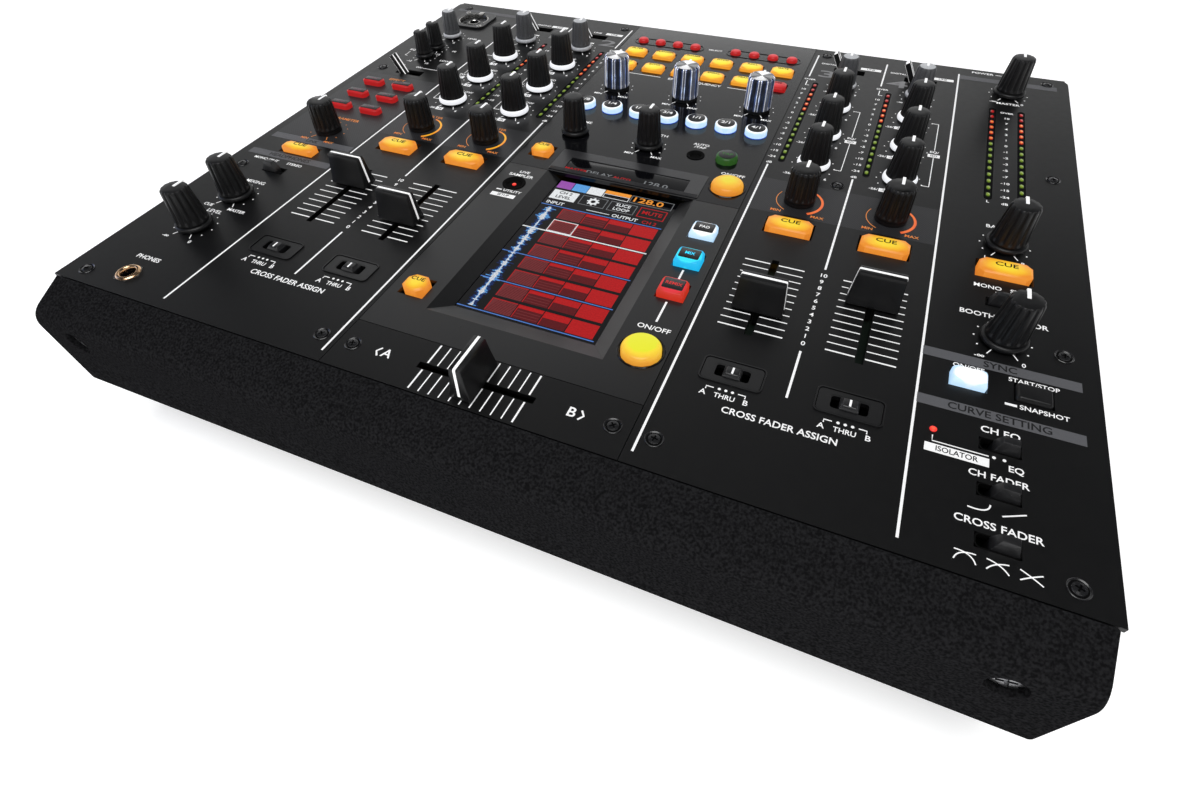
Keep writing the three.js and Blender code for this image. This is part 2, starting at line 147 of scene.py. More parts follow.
def lit(
    name, core, middle, rim, strength, body=0.3, roughness=0.35, reach=1.0, shift=0.0, spread=1.0, flat=0.28
):
    """Backlit plastic. It is brightest over its lamp, and its colour deepens towards its edges. On the
    printed arcs the same glow is painted light, as no lamp lies under them.

    shift moves the lamp and flat is how far out its brightest colour goes, as shares of the half width.
    """
    made = material(name, tuple(c * body for c in middle), roughness, specular=0.35)
    nodes, links = made.node_tree.nodes, made.node_tree.links
    shader = nodes["Principled BSDF"]
    place = nodes.new("ShaderNodeAttribute")
    place.attribute_name = "part_place"
    # A little noise makes the lamp's patch uneven.
    wobble = nodes.new("ShaderNodeVectorMath")
    wobble.operation = "MULTIPLY_ADD"
    wobble.inputs[1].default_value = (0.22, 0.22, 0.0)
    links.new(noise(made, 330, 2.0).outputs["Color"], wobble.inputs[0])
    links.new(place.outputs["Vector"], wobble.inputs[2])
    centre = nodes.new("ShaderNodeVectorMath")
    centre.operation = "SUBTRACT"
    centre.inputs[1].default_value = (0.11, 0.11 + shift, 0.0)
    links.new(wobble.outputs["Vector"], centre.inputs[0])
    flatten = nodes.new("ShaderNodeVectorMath")
    flatten.operation = "MULTIPLY"
    flatten.inputs[1].default_value = (spread, spread, 0)
    links.new(centre.outputs["Vector"], flatten.inputs[0])
    length = nodes.new("ShaderNodeVectorMath")
    length.operation = "LENGTH"
    links.new(flatten.outputs["Vector"], length.inputs[0])
    ramp = nodes.new("ShaderNodeValToRGB")
    elements = ramp.color_ramp.elements
    elements[0].position, elements[0].color = flat * reach, (*core, 1)
    elements[1].position, elements[1].color = 1.0, (*rim, 1)
    between = elements.new(0.66 * reach)
    between.color = (*middle, 1)
    links.new(length.outputs["Value"], ramp.inputs["Fac"])
    links.new(ramp.outputs["Color"], shader.inputs["Emission Color"])
    shader.inputs["Emission Strength"].default_value = strength
    return made


def plastic(name, color, roughness, scale=1500, strength=0.12, specular=0.4):
    made = material(name, color, roughness, specular=specular)
    grain(made, scale, strength, 0.00005)
    vary(made, "Roughness", roughness - 0.04, roughness + 0.05, 500, 5.0, 0.3)
    vary(made, "Base Color", color, tuple(c * 1.35 for c in color), 2400, 1.0)
    return made


def printed(name, color, painted_glow=0.0):
    """Screen-printed ink: nearly flat, with a little unevenness in its edge gloss. Its glow, where set, is
    painted brightness: the ink gives off light of its own colour though it is no lamp.
    """
    made = material(name, color, 0.5, specular=0.3)
    vary(made, "Roughness", 0.42, 0.6, 900)
    vary(made, "Base Color", tuple(c * 0.93 for c in color), color, 2600, 2.0)
    if painted_glow:
        shader = made.node_tree.nodes["Principled BSDF"]
        shader.inputs["Emission Color"].default_value = (*color, 1)
        shader.inputs["Emission Strength"].default_value = painted_glow
    return made


def woven(name, color):
    """A printed band with fine slanting lines."""
    made = material(name, color, 0.42, specular=0.4)
    nodes, links = made.node_tree.nodes, made.node_tree.links
    wave = nodes.new("ShaderNodeTexWave")
    wave.bands_direction = "DIAGONAL"
    wave.inputs["Scale"].default_value = 420
    wave.inputs["Distortion"].default_value = 0.4
    place = nodes.new("ShaderNodeTexCoord")
    links.new(place.outputs["Object"], wave.inputs["Vector"])
    ramp = nodes.new("ShaderNodeValToRGB")
    ramp.color_ramp.elements[0].color = (*(c * 0.75 for c in color), 1)
    ramp.color_ramp.elements[1].color = (*(c * 1.25 for c in color), 1)
    links.new(wave.outputs["Fac"], ramp.inputs["Fac"])
    links.new(ramp.outputs["Color"], nodes["Principled BSDF"].inputs["Base Color"])
    bump = nodes.new("ShaderNodeBump")
    bump.inputs["Strength"].default_value = 0.25
    bump.inputs["Distance"].default_value = 0.00005
    links.new(wave.outputs["Fac"], bump.inputs["Height"])
    links.new(bump.outputs["Normal"], nodes["Principled BSDF"].inputs["Normal"])
    return made


def shown(name, color):
    """A lit part of a screen, with a faint unevenness between its rows of dots."""
    made = material(name, (0.003, 0.003, 0.003), 0.25, specular=0.06)
    nodes, links = made.node_tree.nodes, made.node_tree.links
    ramp = nodes.new("ShaderNodeValToRGB")
    ramp.color_ramp.elements[0].position, ramp.color_ramp.elements[1].position = 0.35, 0.65
    ramp.color_ramp.elements[0].color = (*(c * 0.82 for c in color), 1)
    ramp.color_ramp.elements[1].color = (*color, 1)
    links.new(noise(made, 1300, 1.0).outputs["Fac"], ramp.inputs["Fac"])
    links.new(ramp.outputs["Color"], nodes["Principled BSDF"].inputs["Emission Color"])
    nodes["Principled BSDF"].inputs["Emission Strength"].default_value = 1.0
    return made


def metal(name, color, low, high, scale=500):
    made = material(name, color, (low + high) / 2, 1.0)
    vary(made, "Roughness", low, high, scale)
    vary(made, "Base Color", tuple(c * 0.9 for c in color), color, scale * 0.4)
    return made


def streaked(made, strength):
    """Painted reflections: dark, bright and bluish streaks painted into the colour and glow up the sides of
    plated metal, all round it.
    """
    nodes, links = made.node_tree.nodes, made.node_tree.links
    shader = nodes["Principled BSDF"]
    place = nodes.new("ShaderNodeAttribute")
    place.attribute_name = "part_place"
    flatten = nodes.new("ShaderNodeVectorMath")
    flatten.operation = "MULTIPLY"
    flatten.inputs[1].default_value = (1, 1, 0)
    links.new(place.outputs["Vector"], flatten.inputs[0])
    around = nodes.new("ShaderNodeVectorMath")
    around.operation = "NORMALIZE"
    links.new(flatten.outputs["Vector"], around.inputs[0])
    streaks = nodes.new("ShaderNodeTexNoise")
    streaks.inputs["Scale"].default_value = 1.9
    streaks.inputs["Detail"].default_value = 1.5
    links.new(around.outputs["Vector"], streaks.inputs["Vector"])
    ramp = nodes.new("ShaderNodeValToRGB")
    elements = ramp.color_ramp.elements
    elements[0].position, elements[0].color = 0.34, (0.03, 0.035, 0.05, 1)
    elements[1].position, elements[1].color = 0.66, (0.05, 0.055, 0.07, 1)
    for spot, colour in (
        (0.4, (0.02, 0.022, 0.03, 1)),
        (0.44, (0.07, 0.1, 0.22, 1)),
        (0.49, (0.1, 0.14, 0.28, 1)),
        (0.5, (0.85, 0.87, 0.95, 1)),
        (0.545, (0.95, 0.95, 1.0, 1)),
        (0.555, (0.12, 0.13, 0.17, 1)),
    ):
        elements.new(spot).color = colour
    links.new(streaks.outputs["Fac"], ramp.inputs["Fac"])
    links.new(ramp.outputs["Color"], shader.inputs["Base Color"])
    links.new(ramp.outputs["Color"], shader.inputs["Emission Color"])
    shader.inputs["Emission Strength"].default_value = strength
    return made


def turned_finish(made, share, dark, bright, painted_glow):
    """Fine rings from a lathe, as gloss that stretches round the part's axis. Two fans, front and back, are
    also painted into the colour and the glow, from dark and bright: a painted highlight where bright is the
    lighter, painted shade where it is the darker.
    """
    nodes, links = made.node_tree.nodes, made.node_tree.links
    shader = nodes["Principled BSDF"]
    place = nodes.new("ShaderNodeAttribute")
    place.attribute_name = "part_place"
    flatten = nodes.new("ShaderNodeVectorMath")
    flatten.operation = "MULTIPLY"
    flatten.inputs[1].default_value = (1, 1, 0)
    links.new(place.outputs["Vector"], flatten.inputs[0])
    around = nodes.new("ShaderNodeVectorMath")
    around.operation = "NORMALIZE"
    links.new(flatten.outputs["Vector"], around.inputs[0])
    positive = nodes.new("ShaderNodeVectorMath")
    positive.operation = "ABSOLUTE"
    links.new(around.outputs["Vector"], positive.inputs[0])
    split = nodes.new("ShaderNodeSeparateXYZ")
    links.new(positive.outputs["Vector"], split.inputs["Vector"])
    ramp = nodes.new("ShaderNodeValToRGB")
    elements = ramp.color_ramp.elements
    elements[0].position, elements[0].color = 0.25, (*(0.5 * (a + b) * 0.6 for a, b in zip(dark, bright)), 1)
    elements[1].position, elements[1].color = 0.9, (*bright, 1)
    elements.new(0.62).color = (*dark, 1)
    links.new(split.outputs["Y"], ramp.inputs["Fac"])
    links.new(ramp.outputs["Color"], shader.inputs["Base Color"])
    links.new(ramp.outputs["Color"], shader.inputs["Emission Color"])
    shader.inputs["Emission Strength"].default_value = painted_glow
    shader.inputs["Anisotropic"].default_value = share
    tangent = made.node_tree.nodes.new("ShaderNodeTangent")
    tangent.direction_type = "RADIAL"
    tangent.axis = "Z"
    made.node_tree.links.new(tangent.outputs["Tangent"], shader.inputs["Tangent"])
    return made


panel_black = painted("panel_black", (0.0042, 0.0042, 0.0045), 0.38, 3000, 0.1, specular=0.32)
panel_gloss = painted("panel_gloss", (0.004, 0.004, 0.0048), 0.14, 2600, 0.02, specular=0.34, change=0.015)
panel_satin = painted("panel_satin", (0.006, 0.006, 0.0065), 0.3, 3000, 0.06, specular=0.6)
bumper_black = painted("bumper_black", (0.0075, 0.0075, 0.008), 0.45, 1300, 0.6, 2.6, 0.0)
tray_black = painted("tray_black", (0.0045, 0.0045, 0.005), 0.5, 1500, 0.5, 2.2, 0.06)
frame_grey = painted("frame_grey", (0.024, 0.024, 0.026), 0.3, 2600, 0.05, specular=0.6)
band_grey = woven("band_grey", (0.022, 0.022, 0.0245))
bar_grey = printed("bar_grey", (0.125, 0.126, 0.135))
knob_black = plastic("knob_black", (0.0055, 0.0055, 0.006), 0.38, specular=0.34)
knob_grey = plastic("knob_grey", (0.075, 0.077, 0.082), 0.4)
cap_black = plastic("cap_black", (0.005, 0.005, 0.0055), 0.34, specular=0.36)
# pit_black_and_painted_shade is nearly black and dull: on the flat floors of dishes and grooves, and as flat
# discs in holes, it is painted shade; it also colours the dark walls of slots and sockets.
pit_black_and_painted_shade = plastic("pit_black_and_painted_shade", (0.0015, 0.0015, 0.0015), 0.8, specular=0.1)
screw_black = plastic("screw_black", (0.01, 0.01, 0.011), 0.25, 700, 0.2, 0.6)
screw_bright = metal("screw_bright", (0.3, 0.3, 0.31), 0.22, 0.34)
rubber = plastic("rubber", (0.012, 0.012, 0.012), 0.75, 1200, 0.5)
# Where an ink below is given a glow, that glow is painted brightness: printing gives off no light of its own.
ink_white = printed("ink_white", (0.8, 0.8, 0.8), 0.45)
ink_dark = printed("ink_dark", (0.02, 0.008, 0.003))
ink_black = printed("ink_black", (0.012, 0.012, 0.013))
ink_grey = printed("ink_grey", (0.2, 0.2, 0.205), 0.28)
pointer_white = printed("pointer_white", (0.85, 0.85, 0.85), 0.5)
orange_ink = printed("orange_ink", (0.8, 0.27, 0.06), 0.25)
ring_white = lit("ring_white", (1, 1, 1), (1, 1, 1), (0.85, 0.87, 0.92), 0.75, 0.5)
# orange_glow and ember_glow colour the wide printed arcs: their glow is painted light, as no lamp lies under
# them.
orange_glow = lit("orange_glow", (1.0, 0.62, 0.02), (1.0, 0.5, 0.02), (0.9, 0.24, 0.03), 0.85, 0.2)
ember_glow = lit("ember_glow", (1.0, 0.3, 0.04), (0.95, 0.2, 0.04), (0.8, 0.12, 0.04), 0.8, 0.2)
amber_key = lit("amber_key", (1.0, 0.78, 0.05), (0.97, 0.5, 0.03), (0.85, 0.24, 0.03), 0.76, reach=1.1)
yellow_key = lit("yellow_key", (1.0, 0.87, 0.04), (1.0, 0.74, 0.04), (0.9, 0.3, 0.03), 0.8, reach=1.2)
red_key = lit("red_key", (0.8, 0.03, 0.045), (0.66, 0.024, 0.03), (0.45, 0.012, 0.012), 0.72, reach=1.0)
red_mode = lit("red_mode", (0.75, 0.03, 0.05), (0.7, 0.028, 0.04), (0.55, 0.03, 0.01), 0.85, reach=1.3)
white_key = lit("white_key", (1, 1, 1), (1, 1, 1), (0.45, 0.72, 1.0), 0.85, 0.4, reach=1.3)
cyan_key = lit("cyan_key", (0.03, 0.82, 1.0), (0.03, 0.8, 1.0), (0.015, 0.5, 0.9), 0.9, 0.15, reach=1.42)
DOME_SHIFT, DOME_SPREAD = 0.22, 0.84
DOME_RIM, DOME_SIDE = (0.88, 0.32, 0.04), dict(shift=DOME_SHIFT, spread=DOME_SPREAD)
dome_amber = lit(
    "dome_amber", (0.88, 0.8, 0.04), (1.0, 0.52, 0.04), (0.85, 0.26, 0.03), 0.72, reach=0.95, **DOME_SIDE
)
dome_yellow = lit(
    "dome_yellow", (0.8, 0.87, 0.03), (1.0, 0.74, 0.05), DOME_RIM, 0.75, reach=1.05, flat=0.52, **DOME_SIDE
)
green_dark = lit("green_dark", (0.02, 0.1, 0.018), (0.02, 0.09, 0.016), (0.02, 0.08, 0.01), 0.8)
led_red = lit("led_red", (0.55, 0.02, 0.015), (0.35, 0.01, 0.01), (0.12, 0.005, 0.005), 0.9, 0.2, 0.25)
led_hot = lit("led_hot", (1.0, 0.42, 0.06), (0.85, 0.08, 0.02), (0.4, 0.02, 0.01), 0.75, 0.2, 0.25)
led_green = lit("led_green", (0.3, 0.4, 0.02), (0.22, 0.34, 0.02), (0.03, 0.07, 0.01), 0.62, 0.2, 0.25)
glass_black = material("glass_black", (0.003, 0.003, 0.004), 0.1, specular=0.16)
vary(glass_black, "Roughness", 0.07, 0.13, 60)
# The chrome grips' dark, bright and bluish streaks are painted reflections in their colour and glow.
chrome_sides = streaked(metal("chrome_sides", (0.75, 0.76, 0.8), 0.12, 0.2, 800), 0.5)
# The crowns' fans are painted into their colour: on chrome, bright fans front and back are a painted
# highlight with painted shade between; on black plastic, darker fans front and back are painted shade.
turned_chrome = metal("turned_chrome", (0.72, 0.74, 0.8), 0.24, 0.28, 90)
turned_chrome = turned_finish(turned_chrome, 0.9, (0.06, 0.06, 0.065), (0.9, 0.9, 0.92), 0.35)
turned_black = plastic("turned_black", (0.008, 0.008, 0.009), 0.32, specular=0.35)
turned_black = turned_finish(turned_black, 0.85, (0.012, 0.012, 0.013), (0.002, 0.002, 0.002), 0.0)
knob_silver = plastic("knob_silver", (0.5, 0.51, 0.53), 0.35, specular=0.5)
switch_black = plastic("switch_black", (0.012, 0.012, 0.013), 0.3, specular=0.6)
plastic_black = plastic("plastic_black", (0.008, 0.008, 0.0085), 0.35, specular=0.45)
insert_black = plastic("insert_black", (0.01, 0.01, 0.011), 0.3, specular=0.45)
ink_dim = printed("ink_dim", (0.3, 0.16, 0.2))
# These inks glow too: painted brightness in the ink's own colour.
cyan_ink = printed("cyan_ink", (0.03, 0.6, 0.9), 0.8)
green_ink = printed("green_ink", (0.03, 0.12, 0.025), 0.5)
red_ink = printed("red_ink", (0.5, 0.03, 0.03), 0.6)
rim_blue = lit("rim_blue", (0.02, 0.12, 0.7), (0.02, 0.12, 0.7), (0.01, 0.07, 0.5), 0.8)
led_bright = lit("led_bright", (1.0, 0.12, 0.06), (1.0, 0.05, 0.03), (0.6, 0.02, 0.02), 1.1)
screen_blue = shown("screen_blue", (0.09, 0.22, 0.62))
screen_white = shown("screen_white", (0.85, 0.88, 0.9))
screen_red = shown("screen_red", (0.47, 0.012, 0.014))
screen_brown = shown("screen_brown", (0.17, 0.03, 0.033))
screen_maroon = shown("screen_maroon", (0.11, 0.009, 0.012))
screen_purple = shown("screen_purple", (0.35, 0.1, 0.45))
screen_orange = shown("screen_orange", (0.95, 0.35, 0.05))
screen_navy = shown("screen_navy", (0.01, 0.025, 0.11))
screen_grey = shown("screen_grey", (0.2, 0.21, 0.22))
screen_sky = shown("screen_sky", (0.12, 0.38, 0.8))
nickel = metal("nickel", (0.55, 0.54, 0.52), 0.2, 0.32)
gold = metal("gold", (0.8, 0.52, 0.3), 0.15, 0.26)
board_green = plastic("board_green", (0.002, 0.008, 0.004), 0.6)
plug_red = plastic("plug_red", (0.3, 0.012, 0.01), 0.4)
plug_white = plastic("plug_white", (0.5, 0.5, 0.48), 0.4)


# ---- Shapes, each a bmesh in millimetres ----
def lathed(profile, steps=48):
    """Turns (radius, z) points round the z axis."""
    bm = bmesh.new()
    rings = []
    for radius, z in profile:
        if radius < 1e-6:
            rings.append([bm.verts.new((0, 0, z))])
            continue
        ring = []
        for step in range(steps):
            angle = 2 * math.pi * step / steps
            ring.append(bm.verts.new((radius * math.cos(angle), radius * math.sin(angle), z)))
        rings.append(ring)
    for lower, upper in zip(rings, rings[1:]):
        for step in range(steps):
            following = (step + 1) % steps
            if len(lower) == 1 and len(upper) > 1:
                bm.faces.new((lower[0], upper[following], upper[step]))
            elif len(upper) == 1 and len(lower) > 1:
                bm.faces.new((lower[step], lower[following], upper[0]))
            elif len(lower) > 1:
                bm.faces.new((lower[step], lower[following], upper[following], upper[step]))
    bmesh.ops.recalc_face_normals(bm, faces=bm.faces)
    return bm


def block(width, depth, z0, z1, bevel=0.0, top=1.0, segments=2, centre=(0, 0)):
    """A rounded block. top is the upper face's size as a share of the lower one's."""
    bm = bmesh.new()
    bmesh.ops.create_cube(bm, size=1)
    for vert in bm.verts:
        scale = top if vert.co.z > 0 else 1.0
        x = vert.co.x * width * scale + centre[0]
        y = vert.co.y * depth * scale + centre[1]
        vert.co = (x, y, z1 if vert.co.z > 0 else z0)
    if bevel:
        edges = list(bm.edges)
        bmesh.ops.bevel(bm, geom=edges, offset=bevel, segments=segments, profile=0.6, affect="EDGES")
    return bm


def rounded_outline(width, depth, radius, steps=5):
    points = []
    for corner, (sx, sy) in enumerate(((1, 1), (-1, 1), (-1, -1), (1, -1))):
        for step in range(steps + 1):
            angle = math.pi / 2 * (corner + step / steps)
            x = sx * (width / 2 - radius) + radius * math.cos(angle)
            y = sy * (depth / 2 - radius) + radius * math.sin(angle)
            points.append((x, y))
    return points


def prism(outline, z0, z1):
    """A closed solid over an outline of (x, y) points."""
    bm = bmesh.new()
    bottom = [bm.verts.new((x, y, z0)) for x, y in outline]
    top = [bm.verts.new((x, y, z1)) for x, y in outline]
    bm.faces.new(list(reversed(bottom)))
    bm.faces.new(top)
    for i in range(len(outline)):
        j = (i + 1) % len(outline)
        bm.faces.new((bottom[i], bottom[j], top[j], top[i]))
    return bm


def tube_frame(outer, inner, z0, z1):
    """A closed ring between two outlines with equal numbers of points."""
    bm = bmesh.new()
    count = len(outer)
    rows = []
    for outline, z in ((outer, z0), (outer, z1), (inner, z1), (inner, z0)):
        rows.append([bm.verts.new((x, y, z)) for x, y in outline])
    for a, b in zip(rows, rows[1:] + rows[:1]):
        for i in range(count):
            j = (i + 1) % count
            bm.faces.new((a[i], a[j], b[j], b[i]))
    bmesh.ops.recalc_face_normals(bm, faces=bm.faces)
    return bm


def circle(radius, steps=24):
    angles = [2 * math.pi * i / steps for i in range(steps)]
    return [(radius * math.cos(angle), radius * math.sin(angle)) for angle in angles]


ARC_STEPS = 28


def arc_band(radius, width, start, end, z0, z1, taper=1.0):
    """A printed arc. Angles are degrees clockwise from straight back. taper widens its far end."""
    outline_in, outline_out = [], []
    for i in range(ARC_STEPS + 1):
        share = i / ARC_STEPS
        angle = math.radians(90 - start - (end - start) * share)
        half = width / 2 * (1 + (taper - 1) * share)
        outline_in.append(((radius - half) * math.cos(angle), (radius - half) * math.sin(angle)))
        outline_out.append(((radius + half) * math.cos(angle), (radius + half) * math.sin(angle)))
    outline = outline_in + outline_out[::-1]
    bm = bmesh.new()
    bottom = [bm.verts.new((x, y, z0)) for x, y in outline]
    top = [bm.verts.new((x, y, z1)) for x, y in outline]
    last = len(outline) - 1
    for i in range(ARC_STEPS):
        bm.faces.new((top[i], top[i + 1], top[last - i - 1], top[last - i]))
        bm.faces.new((bottom[i], bottom[last - i], bottom[last - i - 1], bottom[i + 1]))
    for i in range(len(outline)):
        j = (i + 1) % len(outline)
        bm.faces.new((bottom[i], bottom[j], top[j], top[i]))
    bmesh.ops.recalc_face_normals(bm, faces=bm.faces)
    return bm


LETTER_THICKNESS = 0.03
letter_meshes = {}


def lettering(text, size, squeeze=1.0):
    """Printed text centred on the origin, size millimetres high."""
    key = (text, size, squeeze)
    if key not in letter_meshes:
        curve = bpy.data.curves.new("lettering", "FONT")
        curve.body = text
        curve.size = size * 1.38
        curve.align_x = "CENTER"
        curve.align_y = "CENTER"
        curve.extrude = LETTER_THICKNESS
        curve.offset = 0.017 * size
        curve.resolution_u = 3
        holder = bpy.data.objects.new("lettering", curve)
        mesh = bpy.data.meshes.new_from_object(holder)
        mesh.transform(Matrix.Diagonal((squeeze, 1, 1, 1)))
        bpy.data.objects.remove(holder)
        letter_meshes[key] = mesh
    bm = bmesh.new()
    bm.from_mesh(letter_meshes[key])
    for face in bm.faces:
        face.material_index = 0
    return bm


class Piece:
    """One visible piece. Shapes are added in the panel frame, then make() turns it into an object."""

    def __init__(self, name, *materials):
        self.name = name
        self.materials = list(materials)
        self.bm = bmesh.new()

    def add(self, shape, x=0, y=0, z=0, finish=0, turn=None):
        # Each shape remembers where each of its points lies in it, from -1 to 1 across and 0 to 1 up.
        place_layer = shape.verts.layers.float_vector.new("part_place")
        low = [min(v.co[i] for v in shape.verts) for i in range(3)]
        high = [max(v.co[i] for v in shape.verts) for i in range(3)]
        half = [max(high[i] - low[i], 1e-6) / 2 for i in range(3)]
        for v in shape.verts:
            across = [(v.co[i] - low[i]) / half[i] - 1 for i in range(2)]
            v[place_layer] = (*across, (v.co.z - low[2]) / half[2] / 2)
        mesh = bpy.data.meshes.new("part")
        shape.to_mesh(mesh)
        shape.free()
        place = Matrix.Translation((x, y, z))
        if turn:
            place = place @ turn
        mesh.transform(place)
        mesh.polygons.foreach_set("material_index", [finish] * len(mesh.polygons))
        self.bm.from_mesh(mesh)
        bpy.data.meshes.remove(mesh)
        return self

    def make(self, body, slot, *replaced, crease=38):
        limit = math.radians(crease)
        for edge in self.bm.edges:
            if len(edge.link_faces) == 2 and edge.calc_face_angle(0) > limit:
                edge.smooth = False
        for face in self.bm.faces:
            face.smooth = True
        # The object's origin goes to the middle of the piece, so that turned metal turns about its own axis.
        xs = [v.co for v in self.bm.verts]
        low = Vector(min(v[i] for v in xs) for i in range(3))
        high = Vector(max(v[i] for v in xs) for i in range(3))
        middle = (low + high) / 2
        bmesh.ops.translate(self.bm, verts=self.bm.verts, vec=-middle)
        bmesh.ops.scale(self.bm, verts=self.bm.verts, vec=(MM, MM, MM))
        mesh = bpy.data.meshes.new(self.name)
        self.bm.to_mesh(mesh)
        self.bm.free()
        for finish in self.materials:
            mesh.materials.append(finish)
        made = bpy.data.objects.new(self.name, mesh)
        made.location = PANEL @ middle
        bpy.context.scene.collection.objects.link(made)
        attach(made, body)
        if replaced:
            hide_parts(*replaced)
        return made


def turned(axis, degrees):
    return Matrix.Rotation(math.radians(degrees), 4, axis)


# ---- CAD pieces that keep their shape ----
kept = {
    "bottom_tray": tray_black,
    "rear_panel": tray_black,
    "left_panel": panel_black,
    "right_panel": panel_black,
    "effects_panel": panel_gloss,
    "touch_panel": panel_satin,
    "crossfader_panel": panel_black,
    "touch_screen": glass_black,
    "control_board": board_green,
}
EDGE = 0.28
for node, finish in kept.items():
    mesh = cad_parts[node].data
    mesh.materials.clear()
    mesh.materials.append(finish)
    if node not in ("control_board", "touch_screen"):
        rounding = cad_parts[node].modifiers.new("rounding", "BEVEL")
        rounding.width = EDGE * MM
        rounding.segments = 2
        rounding.limit_method = "ANGLE"
        rounding.angle_limit = math.radians(38)
        rounding.use_clamp_overlap = True

# ---- Front bumper ----
BUMPER_HALF = 213.5


def curve(start, control, end, steps):
    points = []
    for i in range(steps + 1):
        t = i / steps
        points.append(
            tuple((1 - t) ** 2 * a + 2 * t * (1 - t) * b + t * t * c for a, b, c in zip(start, control, end))
        )
    return points


def side_sweep(sections):
    """Skins (x, outline) sections, where an outline is a list of (y, z) points."""
    bm = bmesh.new()
    rows = [[bm.verts.new((x, y, z)) for y, z in outline] for x, outline in sections]
    for a, b in zip(rows, rows[1:]):
        for i in range(len(a)):
            j = (i + 1) % len(a)
            bm.faces.new((a[i], a[j], b[j], b[i]))
    bm.faces.new(rows[0])
    bm.faces.new(rows[-1][::-1])
    bmesh.ops.recalc_face_normals(bm, faces=bm.faces)
    return bm


BUMPER_CENTRE_Y, BUMPER_CENTRE_Z = -9.5, -30


def shrunk(outline, amount):
    """The bumper's side outline, drawn in towards its middle by a share of the distance."""
    return [(y + (BUMPER_CENTRE_Y - y) * amount, z + (BUMPER_CENTRE_Z - z) * amount) for y, z in outline]


bumper_outline = [(-0.3, -0.35), (-0.55, -0.12)]
bumper_outline += curve((-13.6, -5.55), (-20.1, -8.3), (-19.93, -15.0), 12)
bumper_outline += curve((-19.05, -50.2), (-18.95, -52.2), (-17.2, -52.2), 4)
bumper_outline += [(-0.3, -52.2)]
END_STEPS = ((1.0, 0.022), (0.9975, 0.007), (0.9955, 0.0))
bumper_sections = [(-BUMPER_HALF * s, shrunk(bumper_outline, inset)) for s, inset in END_STEPS]
bumper_sections += [(BUMPER_HALF * s, shrunk(bumper_outline, inset)) for s, inset in reversed(END_STEPS)]


def cut(shape, cutters):
    """Takes the cutters out of a shape. All of them are bmeshes."""
    objects = []
    for source in (shape, *cutters):
        mesh = bpy.data.meshes.new("cut")
        source.to_mesh(mesh)
        source.free()
        made = bpy.data.objects.new("cut", mesh)
        bpy.context.scene.collection.objects.link(made)
        objects.append(made)
    for cutter in objects[1:]:
        modifier = objects[0].modifiers.new("cut", "BOOLEAN")
        modifier.operation = "DIFFERENCE"
        modifier.solver = "EXACT"
        modifier.object = cutter
    graph = bpy.context.evaluated_depsgraph_get()
    result = bmesh.new()
    mesh = bpy.data.meshes.new_from_object(objects[0].evaluated_get(graph))
    result.from_mesh(mesh)
    for made in objects:
        bpy.data.objects.remove(made)
    bpy.data.meshes.remove(mesh)
    return result


def moved(shape, x=0, y=0, z=0, turn=None):
    place = Matrix.Translation((x, y, z))
    bmesh.ops.transform(shape, matrix=place @ turn if turn else place, verts=shape.verts)
    return shape


FORWARD = turned("X", 90)
BUMPER_SCREWS = [(side * 192.7, -19) for side in (-1, 1)]
recesses = [
    moved(lathed([(0, 0), (5.9, 0), (5.9, 9), (6.6, 9.6), (6.6, 30), (0, 30)], 40), x, -11, z, FORWARD)
    for x, z in BUMPER_SCREWS
]
bumper = Piece("bumper", bumper_black)
bumper.add(cut(side_sweep(bumper_sections), recesses))
bumper.make(ROOT, "textured_paint", "front_bumper", crease=30)


# ---- Screws ----
def cross_outline(arm, half):
    return [
        (arm, -half), (arm, half), (half, half), (half, arm), (-half, arm), (-half, half),
        (-arm, half), (-arm, -half), (-half, -half), (-half, -arm), (half, -arm), (half, -half),
    ]


screw_meshes = {}


def cross_screw(radius, top=0.0, depth=1.0):
    """A domed screw head with a cross recess, its top at the given height."""
    key = (radius, top, depth)
    if key in screw_meshes:
        copy = bmesh.new()
        copy.from_mesh(screw_meshes[key])
        return copy
    head = lathed(
        [
            (0, top - 1.8),
            (radius * 0.9, top - 1.8),
            (radius, top - 1.2),
            (radius, top - 0.55),
            (radius * 0.9, top - 0.2),
            (radius * 0.55, top),
            (0, top),
        ],
        32,
    )
    finished = cut(head, [moved(prism(cross_outline(radius * 0.58, radius * 0.13), top - depth, top + 1))])
    screw_meshes[key] = bpy.data.meshes.new("screw")
    finished.to_mesh(screw_meshes[key])
    return finished


screw_heads = Piece("screw_heads", screw_black)
screw_dishes = Piece("screw_dishes", screw_black, pit_black_and_painted_shade)
SCREWS = [(side * 203.3, y) for side in (-1, 1) for y in (7.9, 107.1, 239, 353)]
SCREWS += [(side * 72.1, y) for side in (-1, 1) for y in (13, 352.6)]
SCREWS += [(side * 56.6, 13.1) for side in (-1, 1)]
SCREWS += [(104.3, 196.9), (-104.3, 196.9)]
for i, (x, y) in enumerate(SCREWS):
    dish = [(3.45, -0.03), (3.5, 0.14), (3.3, 0.28), (3.05, 0.2), (2.75, -0.03), (3.45, -0.03)]
    screw_dishes.add(lathed(dish, 36), x, y)
    # The flat dark disc inside the dish, round the screw head, is painted shade.
    screw_dishes.add(prism(circle(2.9, 32), -0.03, 0.02), x, y, 0, 1)
    screw_heads.add(cross_screw(2.35, 0.62), x, y, 0, 0, turned("Z", 17 * i))
screw_heads.make(ROOT, "black_plastic")
bumper_screws = Piece("bumper_screws", screw_bright)
